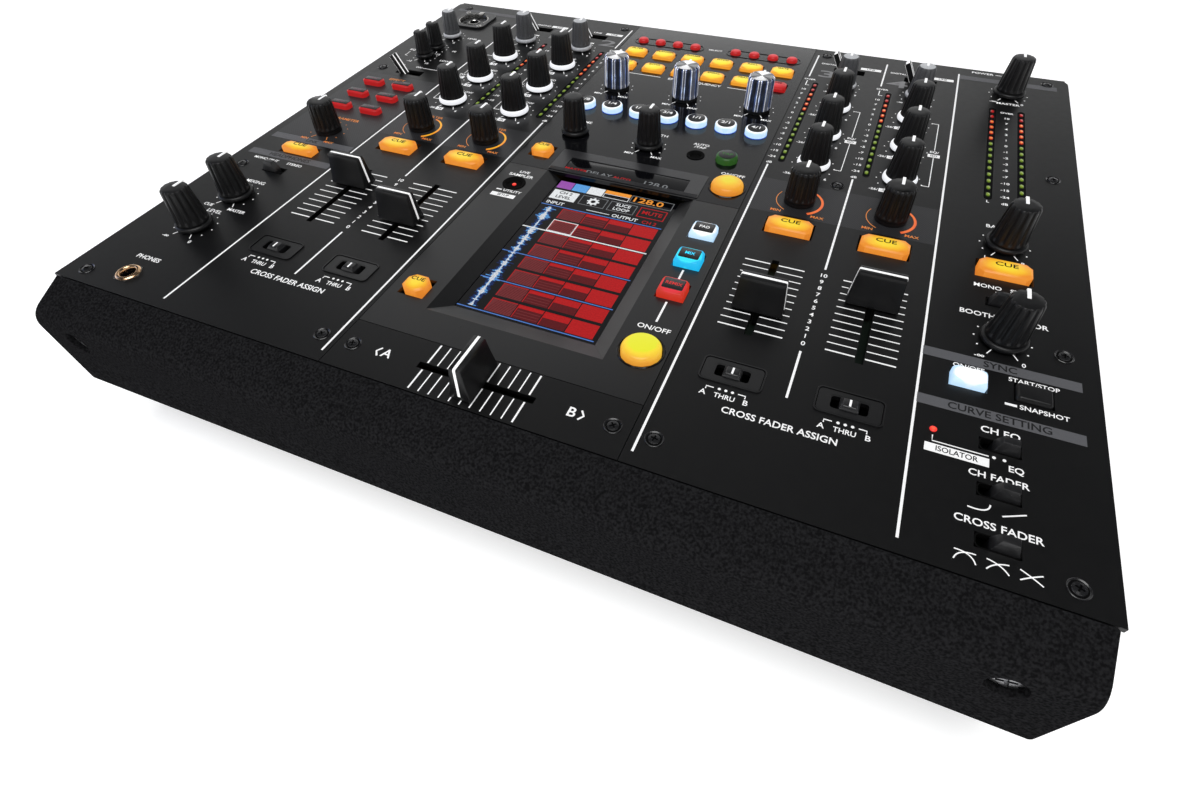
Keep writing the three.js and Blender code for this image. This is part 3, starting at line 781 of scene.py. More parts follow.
for x, z in BUMPER_SCREWS:
    bumper_screws.add(cross_screw(5.0, 0.0, 1.6), x, -17.9, z, 0, FORWARD @ turned("Z", 20))
    bumper_screws.add(lathed([(0, 0), (4.4, 0), (4.4, 5.4), (0, 5.4)], 32), x, -11, z, 0, FORWARD)
bumper_screws.make(ROOT, "plated_metal")
screw_dishes.make(ROOT, "black_paint")

# ---- Printing on the panels ----
INK_LOW, INK_HIGH = -0.02, 0.05
LINE, THIN_LINE = 0.9, 0.42

white_print = Piece("white_printing", ink_white)
grey_print = Piece("grey_printing", ink_grey, bar_grey, ink_dark, ink_black)
orange_print = Piece("orange_printing", orange_ink, orange_glow, ember_glow)
bands = Piece("printed_bands", band_grey)
BLACK_INK = 3


def bar(piece, x0, x1, y0, y1, finish=0):
    shape = block(abs(x1 - x0), abs(y1 - y0), INK_LOW, INK_HIGH)
    piece.add(shape, (x0 + x1) / 2, (y0 + y1) / 2, 0, finish)


def stroke(piece, points, width=THIN_LINE):
    """A printed line along (x, y) points, of one width."""
    bm = bmesh.new()
    rows = []
    for i, point in enumerate(points):
        before, after = points[max(i - 1, 0)], points[min(i + 1, len(points) - 1)]
        along = (Vector(after) - Vector(before)).normalized()
        nx, ny = -along.y * width / 2, along.x * width / 2
        x, y = point
        left, right = (x - nx, y - ny), (x + nx, y + ny)
        corners = ((*left, INK_LOW), (*right, INK_LOW), (*right, INK_HIGH), (*left, INK_HIGH))
        rows.append([bm.verts.new(corner) for corner in corners])
    for a, b in zip(rows, rows[1:]):
        for k in range(4):
            bm.faces.new((a[k], a[(k + 1) % 4], b[(k + 1) % 4], b[k]))
    bm.faces.new(rows[0])
    bm.faces.new(rows[-1][::-1])
    bmesh.ops.recalc_face_normals(bm, faces=bm.faces)
    piece.add(bm)


def dot(piece, x, y, radius=0.4):
    piece.add(prism(circle(radius, 10), INK_LOW, INK_HIGH), x, y)


def label(piece, text, x, y, size=2.2, finish=0, squeeze=1.05, z=0.03):
    piece.add(lettering(text, size, squeeze), x, y, z, finish)


def boxed_label(text, x, y, size=1.9, width=None):
    """Dark letters on a white box."""
    wide = width or len(text) * size * 0.85 + 1.2
    bar(white_print, x - wide / 2, x + wide / 2, y - size * 0.8, y + size * 0.8)
    label(grey_print, text, x, y, size, BLACK_INK, 0.9, z=0.06)


def header(x0, x1, y, height, text="", size=3.0):
    bar(grey_print, x0, x1, y - height / 2, y + height / 2, 1)
    if text:
        label(grey_print, text, (x0 + x1) / 2, y, size, BLACK_INK, 1.05, z=0.06)


SCALE_DOTS = 9


def knob_scale(x, y, radius=10.4, low="", high="", piece=white_print, size=2.1):
    """Dots round a knob, a short line at each end of its turn, and a word by each line."""
    for i in range(1, SCALE_DOTS + 1):
        angle = math.radians(-150 + 300 * i / (SCALE_DOTS + 1))
        dot(piece, x + radius * math.sin(angle), y + radius * math.cos(angle), 0.36)
    for side, word in ((-1, low), (1, high)):
        sine, cosine = side * math.sin(math.radians(150)), math.cos(math.radians(150))
        inner, outer = radius * 0.74, radius * 1.05
        ends = [(x + r * sine, y + r * cosine) for r in (inner, outer)]
        stroke(piece, ends)
        if word:
            shift = 1.6 + len(word) * size * 0.22
            label(piece, word, x + side * (outer * 0.5 + shift), y - outer - 0.6, size)


# Two zones in a lighter, woven print.
bars = ((-209.8, -154.3, 143.2, 229.8), (-151.6, -66.8, 162.4, 192.2), (67.6, 152.6, 162.4, 192.2))
for x0, x1, y0, y1 in bars:
    bands.add(block(x1 - x0, y1 - y0, -0.05, 0.015), (x0 + x1) / 2, (y0 + y1) / 2)
bands.make(ROOT, "grey_print")

# Long lines between the channels. They stop for the meters' numbers and the faders' numbers.
METER_FRONT, METER_BACK = 205.5, 318.5
# Each side's outer line, inner line, the line between its two channels and that line's front end.
SIDE_LINES = ((-152.4, -66.2, -109.3, 40.0), (153.6, 66.8, 110.5, 48.5))
for outer_x, inner_x, between_x, between_front in SIDE_LINES:
    bar(white_print, outer_x - LINE / 2, outer_x + LINE / 2, 5.4, 352)
    for y0, y1 in ((5.4, METER_FRONT), (METER_BACK, 352)):
        bar(white_print, inner_x - LINE / 2, inner_x + LINE / 2, y0, y1)
    for y0, y1 in ((between_front, 74), (127.5, METER_FRONT), (METER_BACK, 352)):
        bar(white_print, between_x - LINE / 2, between_x + LINE / 2, y0, y1)

# Fader scales.
SCALE_FRONT, SCALE_BACK, SCALE_MARKS = 78.5, 123.0, 11
SCALE_HALF, SLOT_HALF = 13.2, 1.9
for i in range(SCALE_MARKS):
    y = SCALE_FRONT + (SCALE_BACK - SCALE_FRONT) * i / (SCALE_MARKS - 1)
    half = (LINE * 0.75 if i in (0, SCALE_MARKS - 1) else 0.5) / 2
    for x in CHANNELS:
        for side in (-1, 1):
            bar(white_print, x + side * SLOT_HALF, x + side * SCALE_HALF, y - half, y + half)
    for _, _, between_x, _ in SIDE_LINES:
        label(white_print, str(i), between_x, y, 2.4)
crossfader_spot = centre_of("crossfader")
for i in range(SCALE_MARKS):
    x = crossfader_spot.x - 22.25 + 44.5 * i / (SCALE_MARKS - 1)
    half = (LINE * 0.8 if i in (0, SCALE_MARKS - 1) else 0.52) / 2
    bar(white_print, x - half, x + half, crossfader_spot.y + SLOT_HALF, 25.2)
    bar(white_print, x - half, x + half, 1.2, crossfader_spot.y - SLOT_HALF)
for side, letter in ((-1, "A"), (1, "B")):
    label(white_print, letter, side * 40.3, 13.2, 4.4)
    chevron = [(side * 43.6, 15.4), (side * 45.2, 13.2), (side * 43.6, 11.0)]
    stroke(white_print, chevron, 0.75)

# Channel printing.
for n, x in enumerate(CHANNELS, 1):
    right_half = n > 2
    number_x = (-117, -74, 77, 119.6)[n - 1]
    label(grey_print, str(n), number_x, 324.4, 9.8, 0, 1.9)
    knob_scale(x, 310, 9.6)
    label(white_print, "TRIM", x + 1.5, 321.6, 2.0)
    label(white_print, "9", x + 8.4, 300.6, 1.9)
    label(white_print, "-∞", x - 8.8, 300.6, 1.9)
    for name, y in (("HI", 279.5), ("MID", 245.5), ("LOW", 211.8)):
        knob_scale(x, y, 10.9)
        label(white_print, name, x + 2.2, y + 13.4, 2.1)
        text_x = x - (11.0 if right_half else 8.2)
        label(white_print, "-26/", text_x, y - 11.4, 1.9)
        bar(white_print, text_x + 2.6, text_x + 7.4, y - 12.9, y - 9.9)
        label(grey_print, "-26", text_x + 5.0, y - 11.4, 1.8, BLACK_INK, 0.95, z=0.06)
        label(white_print, "6", x + 8.2, y - 11.4, 2.0)
    edge = x + 14.4 * (1 if right_half else -1)
    foot = edge + (-3.7 if right_half else 3.7)
    for y0, y1 in ((211.4, 241.0), (249.2, 279.8)):
        bar(white_print, edge - 0.2, edge + 0.2, y0, y1)
    for y in (211.4, 279.8):
        bar(white_print, edge, foot, y - 0.2, y + 0.2)
    boxed_label("ISO", edge, 243.2, 1.9)
    label(white_print, "EQ/", edge, 247.2, 2.0)
    if right_half:
        label(white_print, "DIGITAL", x - 13.6, 340.2, 1.8)
        boxed_label("LINE", x + 12.6, 340.2, 2.0, 12.5)
    else:
        label(white_print, "PHONO" if n == 1 else "LINE", x - 0.2, 340.2, 2.1)
        boxed_label("LINE", x + 12.6, 340.2, 2.0, 12.5)
    # Crossfader assign.
    for i in (-1, 0, 1):
        dot(white_print, x + i * 2.5, 43.6, 0.6)
    for side in (-1, 1):
        stroke(white_print, [(x + side * 4.6, 43.6), (x + side * 7.4, 43.6), (x + side * 7.4, 42.2)], 0.45)
        label(white_print, "A" if side < 0 else "B", x + side * 8.0, 40.3, 2.5)
    label(white_print, "THRU", x + 0.2, 40.3, 2.3, 0, 0.95)
    # Effect zone: a thin arc up the left side, a bright one that widens down the right side. The wide arc is
    # print that glows with painted light, as no lamp lies under it.
    orange_print.add(arc_band(11.0, 0.35, -150, -60, INK_LOW, INK_HIGH), x, 176.5, 0, 0)
    arc_finish = 2 if right_half else 1
    wide_arc = arc_band(11.2, 0.9, 14, 150, INK_LOW, INK_HIGH + 0.03, taper=1.7)
    orange_print.add(wide_arc, x, 176.5, 0, arc_finish)
    label(orange_print, "FILTER", x + 1.6, 189.6, 2.1)
    label(orange_print, "MIN", x - 9.2, 165.2, 2.0)
    label(orange_print, "MAX", x + 10.6, 165.2, 2.0)
for _, _, between_x, _ in SIDE_LINES:
    label(white_print, "CROSS FADER ASSIGN", between_x, 34.6, 3.0, squeeze=1.0)

# Left strip.
header(-209.8, -154.3, 348.6, 4.6)
header(-209.7, -154.3, 140, 5.4, "LINK", 2.6)
header(-209.7, -154.3, 120.9, 5.2, "HEADPHONES", 3.0)
knob_scale(-185.4, 299.8, 8.6, "-∞", "0")
knob_scale(-185.2, 278, 7.9, "-12", "12")
knob_scale(-185, 262.7, 7.9, "-12", "12")
label(white_print, "LEVEL", -169.5, 300.6, 2.1)
label(white_print, "HI", -170.5, 277, 2.1)
label(white_print, "LOW", -168.5, 261, 2.1)
label(white_print, "EQ", -200.2, 270.6, 2.3)
stroke(white_print, [(-198.6, 261), (-200.4, 261), (-200.4, 267.4)])
label(white_print, "OFF", -193.5, 246.6, 2.0)
label(white_print, "ON", -179.5, 246.6, 2.0)
stroke(white_print, [(-176.5, 246.4), (-163.5, 246.4)])
knob_scale(-180.8, 154, 10.6, "MIN", "MAX", orange_print, 2.0)
label(orange_print, "EFFECT", -182.2, 224.9, 2.5)
label(orange_print, "PARAMETER", -180.6, 168.9, 2.5)
label(white_print, "MONO SPLIT", -193.6, 115.4, 2.0)
label(white_print, "STEREO", -174, 115.4, 2.0)
knob_scale(-181.6, 80.7, 10.4, "CUE", "MASTER")
label(white_print, "MIXING", -182, 94.3, 2.5)
knob_scale(-181.6, 52.4, 10.4, "-∞", "0")
label(white_print, "LEVEL", -182.2, 65.2, 2.5)
label(white_print, "PHONES", -182.4, 24.2, 2.6)

# Right strip.
header(154, 208.5, 347.9, 5.6)
label(white_print, "POWER", 167, 357.3, 2.5)
stroke(white_print, [(174.5, 357.3), (178, 357.3)], 0.5)
knob_scale(STRIP, 331.5, 10.4, "-∞", "0")
knob_scale(STRIP, 173, 10.4, "L", "R")
label(white_print, "BALANCE", STRIP, 186.6, 2.6)
label(white_print, "MONO", 175.6, 140.4, 2.4)
label(white_print, "STEREO", 190.4, 140.4, 2.4)
dot(white_print, 179.2, 137.6, 0.5)
dot(white_print, 185.2, 137.6, 0.5)
knob_scale(STRIP, 108, 10.4, "-∞", "0")
label(white_print, "BOOTH MONITOR", STRIP, 121.2, 2.8, squeeze=1.0)
header(153.9, 208.6, 92.2, 4.9, "SYNC", 3.2)
header(153.9, 208.6, 66.4, 4.9, "CURVE SETTING", 3.2)
label(white_print, "ON/OFF", 170.4, 88.2, 2.1)
label(white_print, "START/STOP", 192.6, 87.5, 2.1)
label(white_print, "SNAPSHOT", 195.8, 74.4, 2.2)
stroke(white_print, [(183, 74.5), (187, 74.5)], 1.1)
label(white_print, "CH EQ", STRIP, 59.4, 2.9)
stroke(white_print, [(160.5, 50.4), (160.5, 47.8), (178.4, 47.8)])
dot(white_print, 180, 47.8, 0.6)
dot(white_print, 183.2, 47.8, 0.6)
boxed_label("ISOLATOR", 168.4, 44.8, 2.3, 20.4)
label(white_print, "EQ", 186.8, 44.8, 2.6)
label(white_print, "CH FADER", STRIP - 0.3, 39.2, 2.7)
stroke(white_print, curve((172.7, 25.1), (179.2, 24.2), (179.4, 28.0), 8), 0.5)
stroke(white_print, [(182.9, 25.0), (189.8, 28.2)], 0.5)
label(white_print, "CROSS FADER", STRIP - 0.1, 19.9, 2.8)
for i, bend in enumerate((1.0, 0.5, 0.0)):
    x = 172.8 + 9.1 * i
    for side in (-1, 1):
        top = (x + side * 3.1, 8.2)
        low_end = (x - side * 3.1, 4.7)
        control = (x - side * (0.2 + 1.9 * bend), 8.4 - 1.7 * (1 - bend))
        stroke(white_print, curve(top, control, low_end, 8), 0.42)

# Middle panels.
label(white_print, "SELECT", 0, 337.4, 2.0)
label(white_print, "EFFECT FREQUENCY", 1.0, 285.6, 2.6)
for x0, x1 in ((-43, -21.5), (22.5, 43)):
    stroke(white_print, [(x0, 285.8), (x1, 285.8)], 0.5)
for n in (1, 2, 3):
    spot = centre_of("frequency_knob_%d" % n)
    knob_scale(spot.x, spot.y, 10.0, "MIN", "MAX", size=2.0)
spot = centre_of("effect_depth_knob")
knob_scale(spot.x, spot.y, 9.4, "MIN", "MAX", size=2.0)
label(white_print, "DEPTH", spot.x + 1.5, 214.8, 2.4)
label(white_print, "TIME", -42.4, 214.8, 2.4)
label(white_print, "AUTO", 28.4, 212.6, 2.2)
label(white_print, "/TAP", 28.4, 209.6, 2.2)
label(white_print, "ON/OFF", 52.6, 188.2, 2.4)
label(white_print, "LIVE", -50.8, 152.9, 2.2)
label(white_print, "SAMPLER", -51.2, 149.4, 2.4)
stroke(white_print, [(-57.6, 134.2), (-54.6, 134.2)], 0.9)
label(white_print, "UTILITY", -48.6, 134.2, 2.0)
boxed_label("SETUP", -51.6, 129.8, 1.9, 13.5)
label(white_print, "ON/OFF", 53.2, 65.2, 2.7)
for y0, y1 in ((69.4, 82.4), (97.4, 105)):
    bar(white_print, 52.8 - LINE / 2, 52.8 + LINE / 2, y0, y1)



# ---- Knobs ----
UNDERSIDE = 1.0
SHAFT_RADIUS, SHAFT_BOTTOM = 3.0, -5.9
# One rib and the groove after it, as (share of the pitch, share of the groove's depth).
WIDE_RIB = (
    (0.0, 0.4), (0.06, 0.06), (0.22, -0.06), (0.4, -0.08),
    (0.58, 0.06), (0.64, 0.4), (0.72, 0.95), (0.92, 0.95),
)
FINE_RIB = ((0.0, 0.35), (0.1, 0.0), (0.3, -0.08), (0.5, 0.0), (0.6, 0.35), (0.72, 1.0), (0.88, 1.0))
FLAT_RIB = ((0.0, 0.0), (0.3, 0.12), (0.6, 0.0), (0.68, 0.5), (0.8, 1.0), (0.92, 0.5))


def ribbed(profile, ribs, depth, ridged, rib):
    """Turns (radius, z) points round the z axis. ridged gives each ring its share of the grooves' depth."""
    bm = bmesh.new()
    rings = []
    for (radius, z), share_of_depth in zip(profile, ridged):
        if radius < 1e-6:
            rings.append([bm.verts.new((0, 0, z))])
            continue
        ring = []
        for count in range(ribs):
            for share, groove in rib:
                angle = 2 * math.pi * (count + share) / ribs
                r = radius - depth * groove * share_of_depth
                ring.append(bm.verts.new((r * math.cos(angle), r * math.sin(angle), z)))
        rings.append(ring)
    steps = ribs * len(rib)
    for lower, upper in zip(rings, rings[1:]):
        for step in range(steps):
            following = (step + 1) % steps
            if len(lower) == 1:
                bm.faces.new((lower[0], upper[following], upper[step]))
            elif len(upper) == 1:
                bm.faces.new((lower[step], lower[following], upper[0]))
            else:
                bm.faces.new((lower[step], lower[following], upper[following], upper[step]))
    bmesh.ops.recalc_face_normals(bm, faces=bm.faces)
    return bm


# Each family's foot and crown radius, ribs, groove depth, rib shape, finishes of body and crown, and skirt.
FAMILIES = {
    "trim": dict(
        foot=6.4, top=5.1, ribs=12, groove=0.55, rib=WIDE_RIB,
        body="smoke", crown="silver", ring="silver",
    ),
    "tone": dict(
        foot=7.4, top=5.8, ribs=16, groove=0.5, rib=FINE_RIB,
        body="black", crown="black", ring="white",
    ),
    "effect": dict(
        foot=7.5, top=6.8, ribs=16, groove=0.6, rib=WIDE_RIB,
        body="black", crown="turned", ring=None,
    ),
    "mic_level": dict(
        foot=5.7, top=4.6, ribs=12, groove=0.5, rib=WIDE_RIB,
        body="smoke", crown="silver", ring="silver",
    ),
    "mic_tone": dict(
        foot=5.2, top=4.2, ribs=14, groove=0.4, rib=FINE_RIB,
        body="black", crown="black", ring="black",
    ),
    "level": dict(
        foot=7.7, top=6.1, ribs=13, groove=0.65, rib=WIDE_RIB,
        body="black", crown="black", ring="black",
    ),
    "chrome": dict(
        foot=7.8, top=7.5, ribs=18, groove=0.42, rib=FLAT_RIB,
        body="chrome", crown="bright", ring=None,
    ),
    "encoder": dict(
        foot=6.7, top=5.6, ribs=13, groove=0.55, rib=WIDE_RIB,
        body="black", crown="black", ring="black",
    ),
}
FINISHES = {
    "black": (knob_black, "black_plastic"),
    "turned": (turned_black, "black_plastic"),
    "smoke": (knob_grey, "grey_plastic"),
    "silver": (knob_silver, "grey_plastic"),
    "white": (ring_white, "white_lens"),
    "chrome": (chrome_sides, "chrome"),
    "bright": (turned_chrome, "chrome"),
}


def knob(node, family_name, pointer=True):
    """A knob in place of its CAD node. Its pointer stands straight back."""
    family = FAMILIES[family_name]
    low, high = span_of(node)
    x, y = (low.x + high.x) / 2, (low.y + high.y) / 2
    flange = max(high.y - low.y, high.x - low.x) / 2
    foot, crown, height = family["foot"], family["top"], high.z
    steep = family["crown"] in ("turned", "bright")
    bevel = 1.0 if steep else 0.7
    base = 2.2 if family["ring"] is None else 3.2
    slope = (foot - crown) / (height - base)

    def side(z):
        return foot - slope * (z - base)

    # The grooves fade in above the foot and fade out at the crown.
    profile = [
        (0, SHAFT_BOTTOM, 0),
        (SHAFT_RADIUS, SHAFT_BOTTOM, 0),
        (SHAFT_RADIUS, UNDERSIDE + 0.2, 0),
        (foot - 0.7, base - 0.1, 0),
        (foot - 0.12, base, 0),
        (foot, base + 0.4, 0),
        (side(base + 1.1), base + 1.1, 0.0),
        (side(base + 1.5), base + 1.5, 0.45),
        (side(base + 2.1), base + 2.1, 0.85),
        (side(base + 3.0), base + 3.0, 1),
        (side((height + base) / 2), (height + base) / 2, 1),
        (side(height - bevel * 1.5), height - bevel * 1.5, 1),
        (crown, height - bevel, 0.95),
        (crown - bevel * 0.42, height - bevel * 0.3, 0.6),
        (crown - bevel * 0.8, height, 0.3),
        (crown - bevel - 0.4, height, 0),
        (0, height, 0),
    ]
    rings = [(r, z) for r, z, _ in profile]
    finish, slot_name = FINISHES[family["body"]]
    body = Piece(node + "_grip", finish)
    body.add(ribbed(rings, family["ribs"], family["groove"], [d for *_, d in profile], family["rib"]), x, y)
    body.make(node, slot_name, node, crease=50)
    # A shallow disc lies in the crown.
    face = crown - bevel - 0.15
    finish, slot_name = FINISHES[family["crown"]]
    disc = Piece(node + "_crown", finish)
    dome_up = 0.16 if steep else 0.1
    disc_profile = [
        (0, height - 0.3),
        (face, height - 0.3),
        (face, height + 0.02),
        (face - 0.15, height + 0.08),
        (face * 0.5, height + 0.08 + dome_up * 0.6),
        (0.3, height + 0.08 + dome_up),
        (0, height + 0.08 + dome_up),
    ]
    disc.add(lathed(disc_profile, 56), x, y)
    disc.make(node, slot_name)
    if family["ring"]:
        finish, slot_name = FINISHES[family["ring"]]
        ring = Piece(node + "_skirt", finish)
        tall = 3.7 if family["ring"] == "white" else 3.1
        shoulder = tall - (1.7 if family["ring"] == "white" else 0.9)
        outline = [
            (SHAFT_RADIUS + 0.2, UNDERSIDE + 0.1),
            (flange - 0.5, UNDERSIDE),
            (flange - 0.1, UNDERSIDE + 0.25),
            (flange, UNDERSIDE + 0.6),
            (flange, shoulder),
            (flange - 0.15, shoulder + (tall - shoulder) * 0.45),
            (flange - 0.5, shoulder + (tall - shoulder) * 0.8),
            (flange - 1.0, tall),
            (foot - 0.3, tall),
            (SHAFT_RADIUS + 0.2, tall - 0.4),
            (SHAFT_RADIUS + 0.2, UNDERSIDE + 0.1),
        ]
        ring.add(lathed(outline, 64), x, y)
        ring.make(node, slot_name)
    if family["ring"] == "white" or steep:
        # A black collar under the lit skirt or the grip.
        collar = Piece(node + "_collar", knob_black)
        wide = foot - 0.1 if steep else flange - 0.7
        section = [(SHAFT_RADIUS + 0.1, 0.25), (wide, 0.25), (wide, base - 0.2), (3.2, base - 0.2)]
        collar.add(lathed(section), x, y)
        collar.make(node, "black_plastic")
    if pointer:
        mark = Piece(node + "_pointer", pointer_white)
        turn = turned("Z", 0)
        start = 0.4 if family["crown"] != "silver" else 0.2
        long = crown - start + 0.05
        wide = 1.35 if family_name in ("tone", "level", "encoder", "effect") else 1.2
        top = height + (0.42 if not steep else 0.3)
        mark.add(block(wide, long, height - 0.4, top, 0.12, centre=(0, start + long / 2)), x, y, 0, 0, turn)
        tilt = turned("X", math.degrees(math.atan(slope)))
        down = block(wide, 0.5, -2.6, 0.3, 0.1)
        mark.add(down, x, y, 0, 0, turn @ Matrix.Translation((0, crown - 0.12, height - 0.2)) @ tilt)
        mark.make(node, "white_print")


for n in (1, 2, 3, 4):
    knob("channel_%d_trim_knob" % n, "trim")
    for part in ("high", "mid", "low"):
        knob("channel_%d_%s_knob" % (n, part), "tone")
    knob("channel_%d_effect_knob" % n, "effect")
knob("mic_level_knob", "mic_level")
knob("mic_high_knob", "mic_tone")
knob("mic_low_knob", "mic_tone")
knob("instant_effect_knob", "effect")
for name in ("phones_mixing", "phones_level", "master_level", "balance", "booth_level"):
    knob(name + "_knob", "level")
for n in (1, 2, 3):
    knob("frequency_knob_%d" % n, "chrome")
knob("beat_time_knob", "encoder", pointer=False)
knob("effect_depth_knob", "encoder")


# ---- Faders ----
def ribbon(path, width, thickness):
    """A flat strip, square across, that follows (x, z) points. It is thick on the path's left side."""
    bm = bmesh.new()
    rows = []
    for i, (x, z) in enumerate(path):
        before, after = path[max(i - 1, 0)], path[min(i + 1, len(path) - 1)]
        along = Vector((after[0] - before[0], after[1] - before[1])).normalized()
        nx, nz = -along.y * thickness, along.x * thickness
        half = width / 2
        corners = ((x, -half, z), (x, half, z), (x + nx, half, z + nz), (x + nx, -half, z + nz))
        rows.append([bm.verts.new(corner) for corner in corners])
    for a, b in zip(rows, rows[1:]):
        for k in range(4):
            bm.faces.new((a[k], a[(k + 1) % 4], b[(k + 1) % 4], b[k]))
    bm.faces.new(rows[0])
    bm.faces.new(rows[-1][::-1])
    bmesh.ops.recalc_face_normals(bm, faces=bm.faces)
    return bm


CAP_BASE, CAP_TOP = 0.95, 15.9
CAP_HALF_WIDTH, CAP_TOP_HALF_WIDTH = 10.5, 9.2
# Half of the cap's narrow end, from the base up, as (half depth, height).
CAP_END = (
    (4.5, 0.95),
    (4.8, 1.25),
    (4.72, 2.2),
    (4.2, 4.6),
    (3.65, 7.6),
    (3.15, 11.0),
    (2.72, 14.2),
    (2.55, 15.2),
    (2.3, 15.7),
    (1.85, 15.9),
    (0.95, 15.9),
    (0.8, 15.7),
)


def cap_width(z):
    share = (z - CAP_BASE) / (CAP_TOP - CAP_BASE)
    return CAP_HALF_WIDTH + (CAP_TOP_HALF_WIDTH - CAP_HALF_WIDTH) * share


def cap_shape():
    """A paddle whose broad faces are slightly hollow and whose ends are rounded over."""
    loop = [(-d, z) for d, z in CAP_END] + [(d, z) for d, z in reversed(CAP_END)]
    bm = bmesh.new()
    sections = []
    for u, inset in ((-1.0, 0.62), (-0.985, 0.25), (-0.95, 0.0), (0.95, 0.0), (0.985, 0.25), (1.0, 0.62)):
        section = []
        for d, z in loop:
            lower = min(z, CAP_TOP - inset * 0.9)
            depth = max(abs(d) - inset, 0.7) * (1 if d > 0 else -1)
            section.append(bm.verts.new((u * cap_width(z), depth, lower)))
        sections.append(section)
    count = len(loop)
    for a, b in zip(sections, sections[1:]):
        for k in range(count):
            bm.faces.new((a[k], a[(k + 1) % count], b[(k + 1) % count], b[k]))
    bm.faces.new(sections[0])
    bm.faces.new(sections[-1][::-1])
    bmesh.ops.recalc_face_normals(bm, faces=bm.faces)
    return bm


# The white line's right half, from the top's middle outwards, as (x, z) just off the cap's surface.
HALF_LINE = [(cap_width(z) * share, z) for share, z in ((0.95, 15.9), (0.985, 15.7), (1.0, 15.2), (1.0, 2.6))]
CAP_LINE = [(-x, z) for x, z in reversed(HALF_LINE)] + HALF_LINE


def fader(node, turn):
    spot = centre_of(node)
    cap = Piece(node + "_cap", cap_black)
    cap.add(cap_shape(), spot.x, spot.y, 0, 0, turn)
    stem = block(2.0, 6.0, -6.2, 1.4, 0.2) if not turn else block(6.0, 2.0, -6.2, 1.4, 0.2)
    cap.add(stem, spot.x, spot.y)
    cap.make(node, "black_plastic", node)
    line = Piece(node + "_line", pointer_white)
    line.add(ribbon(CAP_LINE, 1.15, 0.07), spot.x, spot.y, 0, 0, turn)
    line.make(node, "white_print")


for n in (1, 2, 3, 4):
    fader("channel_%d_fader" % n, None)
fader("crossfader", turned("Z", 90))

# ---- Input levers ----
LEVER_PIVOT, LEVER_LENGTH, LEVER_WIDTH, LEVER_THICKNESS = -8.0, 20.8, 4.6, 3.0
LEVER_TILT = -30


def lever(node):
    low, high = span_of(node)
    y = (low.y + high.y) / 2
    # The hub is the piece's furthest reach to the right, and it is 2.6 mm in radius.
    x = high.x - 2.6
    lean = Matrix.Translation((0, 0, LEVER_PIVOT)) @ turned("Y", LEVER_TILT)
    blade = Piece(node + "_blade", knob_black)
    blade.add(block(LEVER_THICKNESS, LEVER_WIDTH, 0, LEVER_LENGTH, 0.35, 1.0, 3), x, y, 0, 0, lean)
    blade.make(node, "black_plastic", node)
    edges = Piece(node + "_lines", pointer_white)
    inset, line = 0.6, 0.95
    face = LEVER_THICKNESS / 2
    for side in (-1, 1):
        for out in (-1, 1):
            middle = (out * face, side * (LEVER_WIDTH / 2 - inset))
            strip = block(0.12, line, 7.5, LEVER_LENGTH - 0.2, 0, centre=middle)
            edges.add(strip, x, y, 0, 0, lean)
    tip = block(LEVER_THICKNESS - 0.8, LEVER_WIDTH - 0.7, LEVER_LENGTH - 0.05, LEVER_LENGTH + 0.06)
    edges.add(tip, x, y, 0, 0, lean)
    edges.make(node, "white_print")


for node in ["channel_%d_input_lever" % n for n in (1, 2, 3, 4)] + ["mic_lever"]:
    lever(node)

# ---- Slide switches ----
surrounds = Piece("switch_surrounds", panel_satin, pit_black_and_painted_shade)
SLIDER_TOP = 1.7

for n in (1, 2, 3, 4):
    node = "channel_%d_assign_switch" % n
    spot = centre_of(node)
    # A raised rim, a groove inside it whose flat floor is painted dark as shade, and a plate round the slot.
    outer = rounded_outline(24.3, 12.7, 2.2)
    rim = rounded_outline(23.3, 11.7, 1.8)
    surrounds.add(tube_frame(outer, rim, -0.02, 0.5), spot.x, spot.y)
    groove = rounded_outline(22.6, 11.0, 1.6)
    surrounds.add(tube_frame(rim, groove, -0.05, 0.03), spot.x, spot.y, 0, 1)
    slot_edge = rounded_outline(14.5, 7.1, 1.6)
    surrounds.add(tube_frame(groove, slot_edge, -0.05, 0.2), spot.x, spot.y)
    surrounds.add(tube_frame(slot_edge, rounded_outline(13.3, 5.9, 1.2), -1.8, 0.12), spot.x, spot.y)
    slider = Piece(node + "_thumb", switch_black)
    slider.add(block(7.0, 5.7, -9, 0.4, 0.3, 1.0, 2), spot.x, spot.y)
    slider.add(block(7.0, 5.7, 0.2, SLIDER_TOP, 0.25, 0.68, 2), spot.x, spot.y)
    slider.make(node, "black_plastic", node)
    mark = Piece(node + "_line", pointer_white)
    mark.add(block(0.75, 3.2, SLIDER_TOP - 0.1, SLIDER_TOP + 0.05), spot.x, spot.y)
    mark.make(node, "white_print")

switch_places = [(-STRIP + 0.8, 107.8), (STRIP, 130.6), (STRIP, 52.8), (STRIP, 33.3), (STRIP, 13.8)]
switches = Piece("slide_switches", switch_black)
for i, (x, y) in enumerate(switch_places):
    slot_edge = rounded_outline(13.3, 5.5, 1.9)
    surrounds.add(tube_frame(slot_edge, rounded_outline(12.5, 4.7, 1.5), -2.0, 0.06), x, y, 0, 1)
    shift = (-1.6, -1.6, 1.8, 1.8, 1.8)[i]
    switches.add(block(8.2, 4.4, -6, 0.6, 0.2, 1.0, 2), x + shift, y)
    switches.add(block(8.4, 4.9, 0.3, 5.0, 0.35, 0.6, 2), x + shift, y)
switches.make(ROOT, "black_plastic")
surrounds.make(ROOT, "black_paint")


